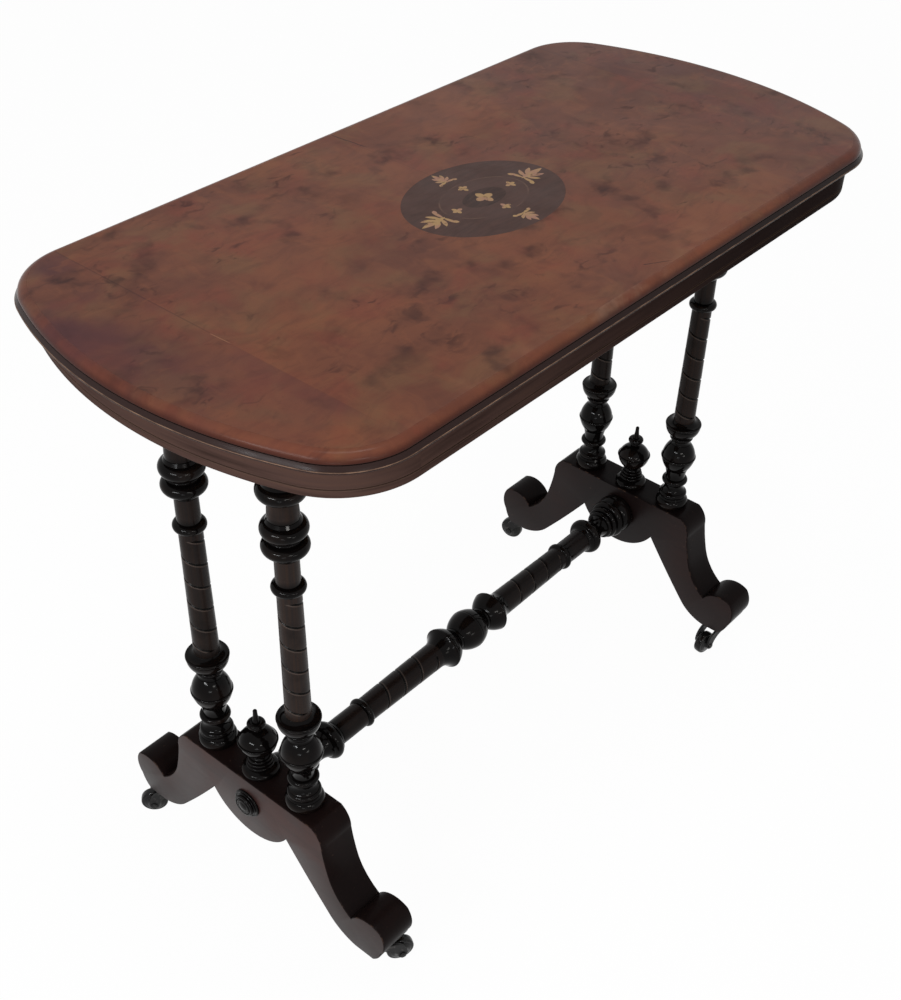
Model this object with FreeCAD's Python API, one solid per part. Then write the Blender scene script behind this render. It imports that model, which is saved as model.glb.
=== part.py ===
import FreeCAD, Part
import math
import os
from dataclasses import dataclass

# Stretcher table: a veneered top with a moulded edge and a frieze, two pairs of turned columns on
# sawn feet, a turned stretcher, and four swivelling castors. Millimetres. X runs along the top, the
# near end is -X and the front is -Y. Z is up and the origin lies on the floor under the middle.

V = FreeCAD.Vector
X_AXIS = V(1, 0, 0)
Y_AXIS = V(0, 1, 0)
Z_AXIS = V(0, 0, 1)
ORIGIN = V(0, 0, 0)
FULL_TURN = 360
HALF_TURN = 180
QUARTER_TURN = 90

# Whole table
TOP_LENGTH = 898.0
TOP_WIDTH = 434.0
TABLE_HEIGHT = 726.0
CUT_OVERRUN = 5.0
GLUE_FIT = 0.1
MERGE_LIMIT = 1e-6

# Outline of the top
END_BOW = 58.0
CORNER_RADIUS = 80.0

# Board, veneer and moulded edge
VENEER_THICK = 1.0
CORE_THICK = 14.5
EDGE_WIDTH = 12.5
ROLL_DROP = 8.5
ROLL_SETBACK = 3.2
QUIRK_HEIGHT = 0.9
QUIRK_DEPTH = 1.3
RIDGE_THICK = 2.4
RIDGE_ROUND = 0.8
RIDGE_HOLLOW_SHARE = 0.35

# Medallion
MEDALLION_LENGTH = 184.0
MEDALLION_WIDTH = 138.0
HEART_LENGTH = 54.0
HEART_WIDTH = 31.0
PETAL_LENGTH = 11.0
PETAL_WIDTH = 7.6
FLORET_LENGTH = 6.2
FLORET_WIDTH = 4.2
FLORET_REACH_SHARE = 0.43
FLORET_SIDE_REACH_SHARE = 0.38
SPRAY_LENGTH = 35.0
SPRAY_WIDTH = 31.0
SIDE_SPRAY_LENGTH = 23.0
SIDE_SPRAY_WIDTH = 25.0
SPRAY_REACH_SHARE = 0.60
SIDE_SPRAY_REACH_SHARE = 0.645
FLORET_TURNS = (0, 75, -75)
# Leaves of a spray: place along and across it, direction in degrees, length, width and bend to the
# left, as shares of the spray's length and width. The last four are its arms and their hooks.
SPRAY_LEAF_SHARES = (
    (0.06, 0.00, 0, 0.94, 0.24, 0.00),
    (0.34, 0.00, 32, 0.50, 0.17, 0.03),
    (0.34, 0.00, -32, 0.50, 0.17, -0.03),
    (0.24, 0.00, 62, 0.44, 0.15, 0.03),
    (0.24, 0.00, -62, 0.44, 0.15, -0.03),
    (0.14, 0.00, 96, 0.46, 0.13, 0.00),
    (0.14, 0.00, -96, 0.46, 0.13, 0.00),
    (0.16, 0.34, 130, 0.22, 0.15, 0.03),
    (0.16, -0.34, -130, 0.22, 0.15, -0.03),
)

# Frieze under the top
APRON_SIDE_INSET = 9.0
APRON_END_INSET = 13.0
APRON_BOW = 55.0
APRON_CORNER_RADIUS = 88.0
APRON_DEPTH = 33.5
APRON_THICK = 18.0
APRON_LINE_RISE = 7.5
APRON_LINE_WIDTH = 1.6
APRON_LINE_DEPTH = 1.2
APRON_EDGE_ROUND = 2.0
BLOCK_LENGTH = 45.0
BLOCK_LEG = 15.0
BLOCK_SPACING = 180.0
BLOCKS_PER_SIDE = 3

# Cross bearers under the top
BEARER_WIDTH = 70.0
BEARER_THICK = 24.0
BEARER_END_GAP = 79.0
BEARER_LENGTH = TOP_WIDTH - 2 * BEARER_END_GAP
SCREW_RADIUS = 2.2
SCREW_HEAD_RADIUS = 4.2
SCREW_HEAD_DEPTH = 3.0
SCREW_BITE = 10.0
SCREW_SIDE_SHARE = 0.33
SCREW_END_SHARE = 0.42

# Columns
COLUMN_END_INSET = 105.0
COLUMN_EDGE_INSET = 31.0
COLUMN_RADIUS = 23.3
COLUMN_BASE_LENGTH = 133.5
COLUMN_HEAD_LENGTH = 197.5
COLUMN_TENON_RADIUS = 11.0
COLUMN_FOOT_TENON = 36.0
COLUMN_HEAD_TENON = 18.0
TENON_END_GAP = 1.0

# A turning is its starting radius share, then rows of rise, radius half way up (None where it runs
# straight) and radius at the end (0 where a round cap closes it): rises are shares of the stack, radii
# shares of its widest radius.
COLUMN_BASE_SHARES = (
    0.82,
    (0.094, 0.910, 0.790),
    (0.024, None, 0.740),
    (0.050, 0.780, 0.680),
    (0.094, 0.530, 0.560),
    (0.063, 0.720, 0.550),
    (0.110, 0.565, 0.635),
    (0.126, 0.830, 0.935),
    (0.031, 0.970, 0.925),
    (0.142, 0.810, 0.550),
    (0.047, 0.525, 0.550),
    (0.039, 0.640, 0.585),
    (0.118, 0.880, 0.960),
    (0.031, 0.985, 0.920),
    (0.031, 0.665, 0.580),
)
COLUMN_HEAD_SHARES = (
    0.51,
    (0.051, 0.715, 0.510),
    (0.150, None, 0.500),
    (0.030, 0.560, 0.700),
    (0.075, 0.960, 0.720),
    (0.022, 0.640, 0.700),
    (0.082, 0.955, 0.720),
    (0.020, None, 0.640),
    (0.110, None, 0.585),
    (0.081, 0.995, 0.770),
    (0.030, None, 0.730),
    (0.152, 0.620, 0.665),
    (0.041, 0.860, 0.730),
    (0.156, None, 0.840),
)

# Spiral groove on the shafts
GROOVE_PITCH = 28.5
GROOVE_WIDTH = 3.2
GROOVE_DEPTH = 1.5
GROOVE_OVERRUN = 0.6
GROOVE_MARGIN = 8.0
GROOVE_START = -128

# Feet
CASTOR_HEIGHT = 42.0
FOOT_DEPTH = 153.0
FOOT_HALF_SPAN = 197.5
FOOT_THICK = 45.0
FOOT_FLAT_SHARE = 0.4936
CUSP_SHARES = (0.283, 0.6536)
PENDANT_LOW_SHARE = 0.4405
# Points of the leg, from the shoulder down to the castor pad and back under the leg to the cusp:
# half way point, then end point, of each arc, as shares of the half span and the depth of the foot.
LEG_OUTER_SHARES = (
    ((0.543, 0.935), (0.563, 0.830)),
    ((0.580, 0.705), (0.602, 0.588)),
    ((0.663, 0.418), (0.758, 0.294)),
    ((0.868, 0.390), (0.968, 0.364)),
    ((1.000, 0.255), (0.974, 0.128)),
    ((0.952, 0.055), (0.915, 0.000)),
)
LEG_INNER_SHARES = (
    ((0.695, 0.037), (0.602, 0.127)),
)
LEG_INNER_BULGE_SHARES = (0.460, 0.352)
PAD_INNER_SHARE = 0.785

# Finials
FINIAL_HEIGHT = 91.0
FINIAL_RADIUS = 21.7
FINIAL_DOWEL_RADIUS = 6.0
FINIAL_DOWEL_LENGTH = 26.0
FINIAL_SHARES = (
    0.85,
    (0.085, 0.950, 0.840),
    (0.020, None, 0.660),
    (0.050, 0.700, 0.610),
    (0.045, 0.650, 0.550),
    (0.045, 0.590, 0.490),
    (0.060, 0.430, 0.510),
    (0.200, 0.820, 0.960),
    (0.030, 1.000, 0.930),
    (0.170, 0.780, 0.320),
    (0.150, 0.455, 0.200),
    (0.120, 0.130, 0.110),
    (0.025, None, 0.000),
)

# Stretcher, its bolts and the roundels over them
STRETCHER_RISE = 117.0
STRETCHER_RADIUS = 26.5
STRETCHER_CENTRE_HALF = 62.0
STRETCHER_END_LENGTH = 137.5
STRETCHER_TENON_RADIUS = 11.0
STRETCHER_TENON_LENGTH = 14.0
STRETCHER_CENTRE_SHARES = (
    0.955,
    (0.032, None, 0.945),
    (0.339, 0.830, 0.560),
    (0.065, 0.535, 0.560),
    (0.274, 0.840, 0.985),
    (0.032, 0.995, 0.960),
    (0.258, 0.720, 0.625),
)
STRETCHER_END_SHARES = (
    0.570,
    (0.065, 0.690, 0.575),
    (0.291, None, 0.580),
    (0.044, 0.620, 0.770),
    (0.102, 0.900, 0.680),
    (0.160, 0.530, 0.580),
    (0.051, 0.720, 0.640),
    (0.058, 0.840, 0.740),
    (0.087, 0.970, 0.850),
    (0.142, 1.000, 0.880),
)
BOLT_RADIUS = 4.0
BOLT_FIT = 0.2
BOLT_HEAD_RADIUS = 8.0
BOLT_HEAD_THICK = 5.0
BOLT_SINK_RADIUS = 10.0
BOLT_SINK_DEPTH = 8.0
BOLT_TIP = 8.0
NUT_SIZE = 13.0
NUT_THICK = 6.0
NUT_FIT = 0.2
NUT_DEPTH = 16.0
ROUNDEL_RADIUS = 17.5
ROUNDEL_DEPTH = 9.0
ROUNDEL_SPIGOT = 2.0
ROUNDEL_SHARES = (
    0.95,
    (0.300, 1.000, 0.860),
    (0.120, 0.740, 0.720),
    (0.260, 0.770, 0.560),
    (0.200, 0.540, 0.360),
    (0.120, None, 0.000),
)

# Castors
CASTOR_END_INSET = 29.5
CASTOR_TRAIL = 24.0
PLATE_RADIUS = 14.0
PLATE_THICK = 3.0
PINTLE_RADIUS = 3.5
PINTLE_HEAD_RADIUS = 5.5
PINTLE_HEAD_THICK = 2.4
SWIVEL_GAP = 0.3
RUNNING_FIT = 0.05
RIVET_FIT = 0.03
HORN_CROWN_THICK = 6.0
HORN_RADIUS = 11.5
HORN_CHEEK_THICK = 3.0
HORN_EYE_RADIUS = 5.0
HORN_BACK_SHARE = 0.5
HORN_NOSE_SHARE = 0.4
HORN_OUTER_SHARES = (1.02, 0.72)
HORN_INNER_SHARES = (0.50, 0.48)
WHEEL_RADIUS = 16.0
WHEEL_WIDTH = 13.0
HUB_GAP = 0.4
HUB_RADIUS = 5.6
AXLE_RADIUS = 2.4
AXLE_HEAD_RADIUS = 3.7
AXLE_HEAD_THICK = 1.3
PLATE_SCREW_RADIUS = 1.4
PLATE_SCREW_HEAD_RADIUS = 2.7
PLATE_SCREW_LENGTH = 14.0
PLATE_SCREWS = 3
PLATE_SCREW_CIRCLE_SHARE = 0.71
WHEEL_SHARES = (
    0.62,
    (0.10, None, 0.800),
    (0.16, 0.960, 0.985),
    (0.24, None, 1.000),
    (0.24, None, 0.985),
    (0.16, 0.960, 0.800),
    (0.10, None, 0.620),
)
# Heading of each castor in degrees.
CASTOR_HEADINGS = {"near_front": -28, "near_rear": 138, "far_front": 172, "far_rear": 101}
END_NAMES = ("near", "far")
SIDE_NAMES = ("front", "rear")

# Places and levels that several pieces share
COLUMN_X = TOP_LENGTH / 2 - COLUMN_END_INSET
FOOT_FLAT_HALF = FOOT_FLAT_SHARE * FOOT_HALF_SPAN
COLUMN_Y = FOOT_FLAT_HALF - COLUMN_EDGE_INSET
CASTOR_Y = FOOT_HALF_SPAN - CASTOR_END_INSET
TOP_THICK = VENEER_THICK + CORE_THICK
VENEER_Z = TABLE_HEIGHT - VENEER_THICK
SOFFIT_Z = TABLE_HEIGHT - TOP_THICK
APRON_Z = SOFFIT_Z - APRON_DEPTH
BEARER_Z = SOFFIT_Z - BEARER_THICK
FOOT_TOP_Z = CASTOR_HEIGHT + FOOT_DEPTH
STRETCHER_Z = CASTOR_HEIGHT + STRETCHER_RISE
FOOT_INNER_X = COLUMN_X - FOOT_THICK / 2
FOOT_OUTER_X = COLUMN_X + FOOT_THICK / 2
PLATE_Z = CASTOR_HEIGHT - PLATE_THICK
HORN_TOP_Z = PLATE_Z - SWIVEL_GAP
HORN_LOW_Z = HORN_TOP_Z - HORN_CROWN_THICK
CHEEK_INNER = HORN_RADIUS - HORN_CHEEK_THICK


@dataclass(frozen=True)
class Outline:
    """Plan of a rounded oblong: straight sides, bowed ends and tangent corners."""

    half_length: float
    half_width: float
    bow: float
    corner: float

    @property
    def end_radius(self):
        """Radius of the bowed end."""
        return (self.half_width ** 2 + self.bow ** 2) / (2 * self.bow)

    @property
    def end_centre(self):
        """Distance along X from the middle to the centre of the bowed end."""
        return self.half_length - self.end_radius

    @property
    def corner_y(self):
        """Distance along Y from the middle to the corner's centre."""
        return self.half_width - self.corner

    @property
    def corner_x(self):
        """Distance along X from the middle to the corner's centre."""
        reach = self.end_radius - self.corner
        return self.end_centre + math.sqrt(reach ** 2 - self.corner_y ** 2)

    @property
    def end_angle(self):
        """Half of the angle of the bowed end, in degrees."""
        return math.degrees(math.atan2(self.corner_y, self.corner_x - self.end_centre))

    def wire(self, inset, z):
        """Closed wire of the plan, drawn in by the inset, at one height."""
        edges = []
        side = self.half_width - inset
        for end in (1, -1):
            start = V(-end * self.corner_x, -end * side, z)
            stop = V(end * self.corner_x, -end * side, z)
            edges.append(Part.makeLine(start, stop))
            turn = 0 if end > 0 else HALF_TURN
            for centre, radius, first, last in self.end_arcs(inset):
                middle = V(end * centre.x, end * centre.y, z)
                edges.append(Part.makeCircle(radius, middle, Z_AXIS, first + turn, last + turn))
        return Part.Wire(Part.__sortEdges__(edges))

    def end_arcs(self, inset):
        """Centre, radius, start and stop of the three arcs at the far end, front to rear."""
        low = V(self.corner_x, -self.corner_y, 0)
        high = V(self.corner_x, self.corner_y, 0)
        middle = V(self.end_centre, 0, 0)
        return (
            (low, self.corner - inset, -QUARTER_TURN, -self.end_angle),
            (middle, self.end_radius - inset, -self.end_angle, self.end_angle),
            (high, self.corner - inset, self.end_angle, QUARTER_TURN),
        )

    def side_run(self, section):
        """A section carried along the front side."""
        start = V(-self.corner_x, 0, 0)
        face = section(lambda inset, z: start + V(0, inset - self.half_width, z))
        return face.extrude(X_AXIS * (2 * self.corner_x))

    def end_run(self, section):
        """A section carried round the far end from corner to corner."""
        runs = []
        for centre, radius, start, stop in self.end_arcs(0):
            face = section(lambda inset, z: centre + V(radius - inset, 0, z))
            face.rotate(centre, Z_AXIS, start)
            runs.append(face.revolve(centre, Z_AXIS, stop - start))
        return runs[0].fuse(runs[1:]).removeSplitter()


TOP_PLAN = Outline(TOP_LENGTH / 2, TOP_WIDTH / 2, END_BOW, CORNER_RADIUS)
APRON_PLAN = Outline(
    TOP_LENGTH / 2 - APRON_END_INSET, TOP_WIDTH / 2 - APRON_SIDE_INSET, APRON_BOW, APRON_CORNER_RADIUS
)


def directions(names):
    """A pair of names, each with its direction: the first lies on the minus side."""
    return zip(names, (-1, 1))


def cap_arc(reach, rise):
    """Radius and angle of an arc that starts level and falls by the rise over the reach."""
    radius = (reach ** 2 + rise ** 2) / (2 * rise)
    return radius, math.atan2(reach, radius - rise)


class Turning:
    """A lathe outline, drawn upwards from the axis and turned into a solid."""

    def __init__(self, z):
        self.edges = []
        self.at = V(0, 0, z)

    def line(self, radius, z):
        """Straight run to a radius and height."""
        point = V(radius, 0, z)
        if (point - self.at).Length > MERGE_LIMIT:
            self.edges.append(Part.makeLine(self.at, point))
            self.at = point

    def curve(self, middle_radius, radius, z):
        """Arc to a radius and height, through a radius half way up."""
        middle = V(middle_radius, 0, (self.at.z + z) / 2)
        point = V(radius, 0, z)
        self.edges.append(Part.Arc(self.at, middle, point).toBSpline().toShape())
        self.at = point

    def dome(self, z):
        """Round cap that closes on the axis."""
        radius, angle = cap_arc(self.at.x, z - self.at.z)
        middle = V(radius * math.sin(angle / 2), 0, z - radius * (1 - math.cos(angle / 2)))
        point = V(0, 0, z)
        self.edges.append(Part.Arc(self.at, middle, point).toShape())
        self.at = point

    def stack(self, shares, length, radius):
        """Mouldings of a table of shares, one above the other."""
        rows = shares[1:]
        whole = sum(row[0] for row in rows)
        self.line(radius * shares[0], self.at.z)
        for rise, middle, end in rows:
            z = self.at.z + length * rise / whole
            if end == 0:
                self.dome(z)
            elif middle is None:
                self.line(radius * end, z)
            else:
                self.curve(radius * middle, radius * end, z)

    def pin(self, radius, length):
        """Plain round pin."""
        self.line(radius, self.at.z)
        self.line(radius, self.at.z + length)

    def solid(self):
        """The turned solid."""
        self.line(0, self.at.z)
        self.edges.append(Part.makeLine(self.at, self.edges[0].Vertexes[0].Point))
        return Part.Face(Part.Wire(self.edges)).revolve(ORIGIN, Z_AXIS, FULL_TURN)


def upside_down(shares):
    """The same turning read from its other end."""
    radii = [shares[0]] + [row[2] for row in shares[1:]]
    rows = [(row[0], row[1], radii[place]) for place, row in enumerate(shares[1:])]
    return (radii[-1],) + tuple(reversed(rows))


def spiral_groove(low_radius, high_radius, low_z, high_z):
    """Pointed cutter along a left-handed spiral on a tapering shaft, clear of both of its ends."""
    taper = (low_radius - high_radius) / (high_z - low_z)
    height = high_z - low_z - 2 * GROOVE_MARGIN
    start_radius = high_radius + taper * GROOVE_MARGIN
    helix = Part.makeLongHelix(GROOVE_PITCH, height, start_radius, math.degrees(math.atan(taper)), True)
    path = Part.Wire(helix.Edges)
    outside = start_radius + GROOVE_OVERRUN
    half_width = GROOVE_WIDTH / 2 * (GROOVE_DEPTH + GROOVE_OVERRUN) / GROOVE_DEPTH
    low = V(outside, 0, -half_width)
    bottom = V(start_radius - GROOVE_DEPTH, 0, 0)
    high = V(outside, 0, half_width)
    cutter = path.makePipeShell([Part.makePolygon([low, bottom, high, low])], True, True)
    cutter.rotate(ORIGIN, X_AXIS, HALF_TURN)
    cutter.rotate(ORIGIN, Z_AXIS, GROOVE_START)
    cutter.translate(Z_AXIS * (high_z - GROOVE_MARGIN))
    return cutter


def cylinder(radius, start, direction, length):
    """Plain cylinder."""
    return Part.makeCylinder(radius, length, start, direction)


def block(size_x, size_y, size_z, middle_x, middle_y, low_z):
    """Box centred in plan on a point."""
    return Part.makeBox(size_x, size_y, size_z, V(middle_x - size_x / 2, middle_y - size_y / 2, low_z))


def countersunk_screw(shank, head, head_depth, length, place):
    """Countersunk screw that points up, with its head's face at the place."""
    turning = Turning(0)
    turning.line(head, 0)
    turning.line(shank, head_depth)
    turning.line(shank, length)
    screw = turning.solid()
    screw.translate(place)
    return screw


def turned_about(shape, degrees):
    """Copy of a shape, turned about the vertical through the origin."""
    copy = shape.copy()
    copy.rotate(ORIGIN, Z_AXIS, degrees)
    return copy


def export(name, shape):
    """Write one node."""
    shape.exportStep("parts/" + name + ".step")


def edge_section(place):
    """Section of the moulded edge: thumb roll, quirk and ridge."""
    top = TABLE_HEIGHT
    roll = EDGE_WIDTH - ROLL_SETBACK
    roll_radius, roll_angle = cap_arc(roll, ROLL_DROP)
    roll_side = roll_radius * math.sin(roll_angle / 2)
    roll_fall = roll_radius * (1 - math.cos(roll_angle / 2))
    roll_mid = place(EDGE_WIDTH - roll_side, top - roll_fall)
    roll_foot = place(ROLL_SETBACK, top - ROLL_DROP)
    quirk_z = top - ROLL_DROP - QUIRK_HEIGHT
    quirk_in = place(ROLL_SETBACK + QUIRK_DEPTH, top - ROLL_DROP)
    quirk_low = place(ROLL_SETBACK + QUIRK_DEPTH, quirk_z)
    fillet = place(ROLL_SETBACK, quirk_z)
    ridge_z = SOFFIT_Z + RIDGE_THICK
    hollow = place(ROLL_SETBACK * RIDGE_HOLLOW_SHARE + RIDGE_ROUND, (quirk_z + ridge_z) / 2)
    ridge = place(RIDGE_ROUND, ridge_z)
    ridge_mid = place(0, SOFFIT_Z + RIDGE_THICK / 2)
    ridge_low = place(RIDGE_ROUND, SOFFIT_Z)
    inner = place(EDGE_WIDTH, SOFFIT_Z)
    start = place(EDGE_WIDTH, top)
    edges = [
        Part.Arc(start, roll_mid, roll_foot).toShape(),
        Part.makeLine(roll_foot, quirk_in),
        Part.makeLine(quirk_in, quirk_low),
        Part.makeLine(quirk_low, fillet),
        Part.Arc(fillet, hollow, ridge).toShape(),
        Part.Arc(ridge, ridge_mid, ridge_low).toShape(),
        Part.makeLine(ridge_low, inner),
        Part.makeLine(inner, start),
    ]
    return Part.Face(Part.Wire(edges))


def apron_section(place):
    """Section of the frieze: flat face, incised line and softened lower edge."""
    line_low = APRON_Z + APRON_LINE_RISE
    line_high = line_low + APRON_LINE_WIDTH
    soft = APRON_EDGE_ROUND
    easing = soft * (1 - math.sqrt(0.5))
    points = [
        place(0, SOFFIT_Z),
        place(0, line_high),
        place(APRON_LINE_DEPTH, (line_low + line_high) / 2),
        place(0, line_low),
        place(0, APRON_Z + soft),
    ]
    edges = [Part.makeLine(a, b) for a, b in zip(points, points[1:])]
    turn = place(easing, APRON_Z + easing)
    under = place(soft, APRON_Z)
    edges.append(Part.Arc(points[-1], turn, under).toShape())
    back = [under, place(APRON_THICK, APRON_Z), place(APRON_THICK, SOFFIT_Z), points[0]]
    edges += [Part.makeLine(a, b) for a, b in zip(back, back[1:])]
    return Part.Face(Part.Wire(edges))


def make_ring(name, plan, section):
    """Four lengths of a moulding round a plan: two sides and two ends."""
    side = plan.side_run(section)
    end = plan.end_run(section)
    export(name + "_front", side)
    export(name + "_rear", turned_about(side, HALF_TURN))
    export(name + "_far", end)
    export(name + "_near", turned_about(end, HALF_TURN))


def oval(length, width, z, height):
    """Oval plate with its long axis along X."""
    curve = Part.Ellipse(V(0, 0, z), length / 2, width / 2).toShape()
    return Part.Face(Part.Wire([curve])).extrude(Z_AXIS * height)


def leaf(place, degrees, length, width, bend=0):
    """Pointed leaf between two arcs, as thick as the veneer, from its stalk end, bent to its left."""
    along = V(math.cos(math.radians(degrees)), math.sin(math.radians(degrees)), 0)
    across = V(-along.y, along.x, 0)
    tip = place + along * length
    middle = place + along * (length / 2) + across * bend
    left = Part.Arc(place, middle + across * (width / 2), tip).toShape()
    right = Part.Arc(tip, middle - across * (width / 2), place).toShape()
    return Part.Face(Part.Wire([left, right])).extrude(Z_AXIS * VENEER_THICK)


def fused(shapes):
    """One solid from overlapping shapes."""
    return shapes[0].fuse(shapes[1:]).removeSplitter()


def flower_solid():
    """Four petals that meet in the middle."""
    centre = V(0, 0, VENEER_Z)
    petals = [leaf(centre, turn, PETAL_LENGTH, PETAL_WIDTH) for turn in range(0, FULL_TURN, QUARTER_TURN)]
    return fused(petals + [cylinder(PETAL_WIDTH / 2, centre, Z_AXIS, VENEER_THICK)])


def floret_solid():
    """Three small petals on a stub that points to the flower."""
    centre = V(0, 0, VENEER_Z)
    petals = [leaf(centre, turn, FLORET_LENGTH, FLORET_WIDTH) for turn in FLORET_TURNS]
    stub = leaf(centre, HALF_TURN, FLORET_LENGTH, FLORET_WIDTH)
    return fused(petals + [stub, cylinder(FLORET_WIDTH / 2, centre, Z_AXIS, VENEER_THICK)])


def spray_solid(length, width):
    """Leaf with side lobes and two hooked arms, along X from its inner end."""
    leaves = []
    for along, across, turn, reach, breadth, bend in SPRAY_LEAF_SHARES:
        start = V(along * length, across * width, VENEER_Z)
        leaves.append(leaf(start, turn, reach * length, breadth * width, bend * width))
    return fused(leaves)


def inlay_groups():
    """Flower, florets and sprays at their places on the medallion."""
    floret_x = V(FLORET_REACH_SHARE * MEDALLION_LENGTH / 2, 0, 0)
    floret_y = V(FLORET_SIDE_REACH_SHARE * MEDALLION_WIDTH / 2, 0, 0)
    spray_x = V(SPRAY_REACH_SHARE * MEDALLION_LENGTH / 2, 0, 0)
    spray_y = V(SIDE_SPRAY_REACH_SHARE * MEDALLION_WIDTH / 2, 0, 0)
    florets = []
    sprays = []
    for turn in range(0, FULL_TURN, QUARTER_TURN):
        lengthways = turn % HALF_TURN == 0
        floret = floret_solid()
        floret.translate(floret_x if lengthways else floret_y)
        florets.append(turned_about(floret, turn))
        if lengthways:
            spray = spray_solid(SPRAY_LENGTH, SPRAY_WIDTH)
        else:
            spray = spray_solid(SIDE_SPRAY_LENGTH, SIDE_SPRAY_WIDTH)
        spray.translate(spray_x if lengthways else spray_y)
        sprays.append(turned_about(spray, turn))
    return flower_solid(), florets, sprays


def make_veneers():
    """Burr field, medallion and its inlay."""
    flower, florets, sprays = inlay_groups()
    field = Part.Face(TOP_PLAN.wire(EDGE_WIDTH, VENEER_Z)).extrude(Z_AXIS * VENEER_THICK)
    medallion = oval(MEDALLION_LENGTH, MEDALLION_WIDTH, VENEER_Z, VENEER_THICK)
    heart = oval(HEART_LENGTH, HEART_WIDTH, VENEER_Z, VENEER_THICK)
    export("burr_veneer", field.cut(medallion))
    export("medallion_ground", medallion.cut([heart] + florets + sprays))
    export("medallion_heart", heart.cut(flower))
    export("inlay_flower", flower)
    export("inlay_florets", Part.makeCompound(florets))
    export("inlay_sprays", Part.makeCompound(sprays))


def bearer_screw_places():
    """Screw places on one bearer, measured from its middle."""
    side = SCREW_SIDE_SHARE * BEARER_WIDTH
    end = SCREW_END_SHARE * BEARER_LENGTH
    return [V(x, y, 0) for x in (-side, side) for y in (-end, end)]


def bearer_screw(place):
    """Screw through a bearer into the core board."""
    length = BEARER_THICK + SCREW_BITE
    return countersunk_screw(SCREW_RADIUS, SCREW_HEAD_RADIUS, SCREW_HEAD_DEPTH, length, place)


def make_board():
    """Core board, bearers, their screws and the glue blocks."""
    screws = []
    for end_name, end in directions(END_NAMES):
        middle = V(end * COLUMN_X, 0, BEARER_Z)
        own = [bearer_screw(middle + offset) for offset in bearer_screw_places()]
        bearer = block(BEARER_WIDTH, BEARER_LENGTH, BEARER_THICK, middle.x, 0, BEARER_Z)
        sockets = []
        for _, side in directions(SIDE_NAMES):
            place = V(middle.x, side * COLUMN_Y, BEARER_Z - CUT_OVERRUN)
            depth = CUT_OVERRUN + COLUMN_HEAD_TENON + TENON_END_GAP
            sockets.append(cylinder(COLUMN_TENON_RADIUS + GLUE_FIT, place, Z_AXIS, depth))
        export("bearer_" + end_name, bearer.cut(own + sockets))
        screws += own
    core = Part.Face(TOP_PLAN.wire(EDGE_WIDTH, SOFFIT_Z)).extrude(Z_AXIS * CORE_THICK)
    export("top_core", core.cut(screws))
    export("bearer_screws", Part.makeCompound(screws))
    make_glue_blocks()


def make_glue_blocks():
    """Three-cornered blocks between the soffit and the backs of the long rails."""
    wall = APRON_PLAN.half_width - APRON_THICK
    blocks = []
    first = -BLOCK_SPACING * (BLOCKS_PER_SIDE - 1) / 2
    for place in range(BLOCKS_PER_SIDE):
        x = first + place * BLOCK_SPACING - BLOCK_LENGTH / 2
        corner = V(x, -wall, SOFFIT_Z)
        points = [corner, corner + V(0, BLOCK_LEG, 0), corner - V(0, 0, BLOCK_LEG), corner]
        wedge = Part.Face(Part.makePolygon(points)).extrude(X_AXIS * BLOCK_LENGTH)
        blocks += [wedge, turned_about(wedge, HALF_TURN)]
    export("glue_blocks", Part.makeCompound(blocks))


def column_solid():
    """Turned column with its two tenons and its spiral groove, standing at the origin."""
    length = BEARER_Z - FOOT_TOP_Z
    turning = Turning(-COLUMN_FOOT_TENON)
    turning.pin(COLUMN_TENON_RADIUS, COLUMN_FOOT_TENON)
    turning.stack(COLUMN_BASE_SHARES, COLUMN_BASE_LENGTH, COLUMN_RADIUS)
    low = turning.at
    turning.line(COLUMN_RADIUS * COLUMN_HEAD_SHARES[0], length - COLUMN_HEAD_LENGTH)
    high = turning.at
    turning.stack(COLUMN_HEAD_SHARES, COLUMN_HEAD_LENGTH, COLUMN_RADIUS)
    turning.pin(COLUMN_TENON_RADIUS, COLUMN_HEAD_TENON)
    return turning.solid().cut(spiral_groove(low.x, high.x, low.z, high.z))


def make_columns():
    """Four columns from one pattern."""
    pattern = column_solid()
    for end_name, end in directions(END_NAMES):
        for side_name, side in directions(SIDE_NAMES):
            column = pattern.copy()
            column.translate(V(end * COLUMN_X, side * COLUMN_Y, FOOT_TOP_Z))
            export("column_" + end_name + "_" + side_name, column)


def foot_point(share, side):
    """Point of the foot's outline from shares of its half span and depth."""
    return V(0, side * share[0] * FOOT_HALF_SPAN, CASTOR_HEIGHT + share[1] * FOOT_DEPTH)


def leg_edges(side):
    """Outline of one leg, from the shoulder round the scroll and the castor pad to the cusp."""
    edges = []
    at = V(0, side * FOOT_FLAT_HALF, FOOT_TOP_Z)
    for middle, end in LEG_OUTER_SHARES:
        point = foot_point(end, side)
        edges.append(Part.Arc(at, foot_point(middle, side), point).toShape())
        at = point
    pad = foot_point((PAD_INNER_SHARE, 0), side)
    edges.append(Part.makeLine(at, pad))
    at = pad
    for middle, end in LEG_INNER_SHARES:
        point = foot_point(end, side)
        edges.append(Part.Arc(at, foot_point(middle, side), point).toShape())
        at = point
    bulge = foot_point(LEG_INNER_BULGE_SHARES, side)
    edges.append(Part.Arc(at, bulge, foot_point(CUSP_SHARES, side)).toShape())
    return edges


def foot_outline():
    """Closed outline of a foot plank in the plane across the table."""
    flat = Part.makeLine(V(0, -FOOT_FLAT_HALF, FOOT_TOP_Z), V(0, FOOT_FLAT_HALF, FOOT_TOP_Z))
    low = foot_point((0, PENDANT_LOW_SHARE), 1)
    pendant = Part.Arc(foot_point(CUSP_SHARES, -1), low, foot_point(CUSP_SHARES, 1)).toShape()
    return Part.Wire(Part.__sortEdges__([flat, pendant] + leg_edges(-1) + leg_edges(1)))


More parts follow.
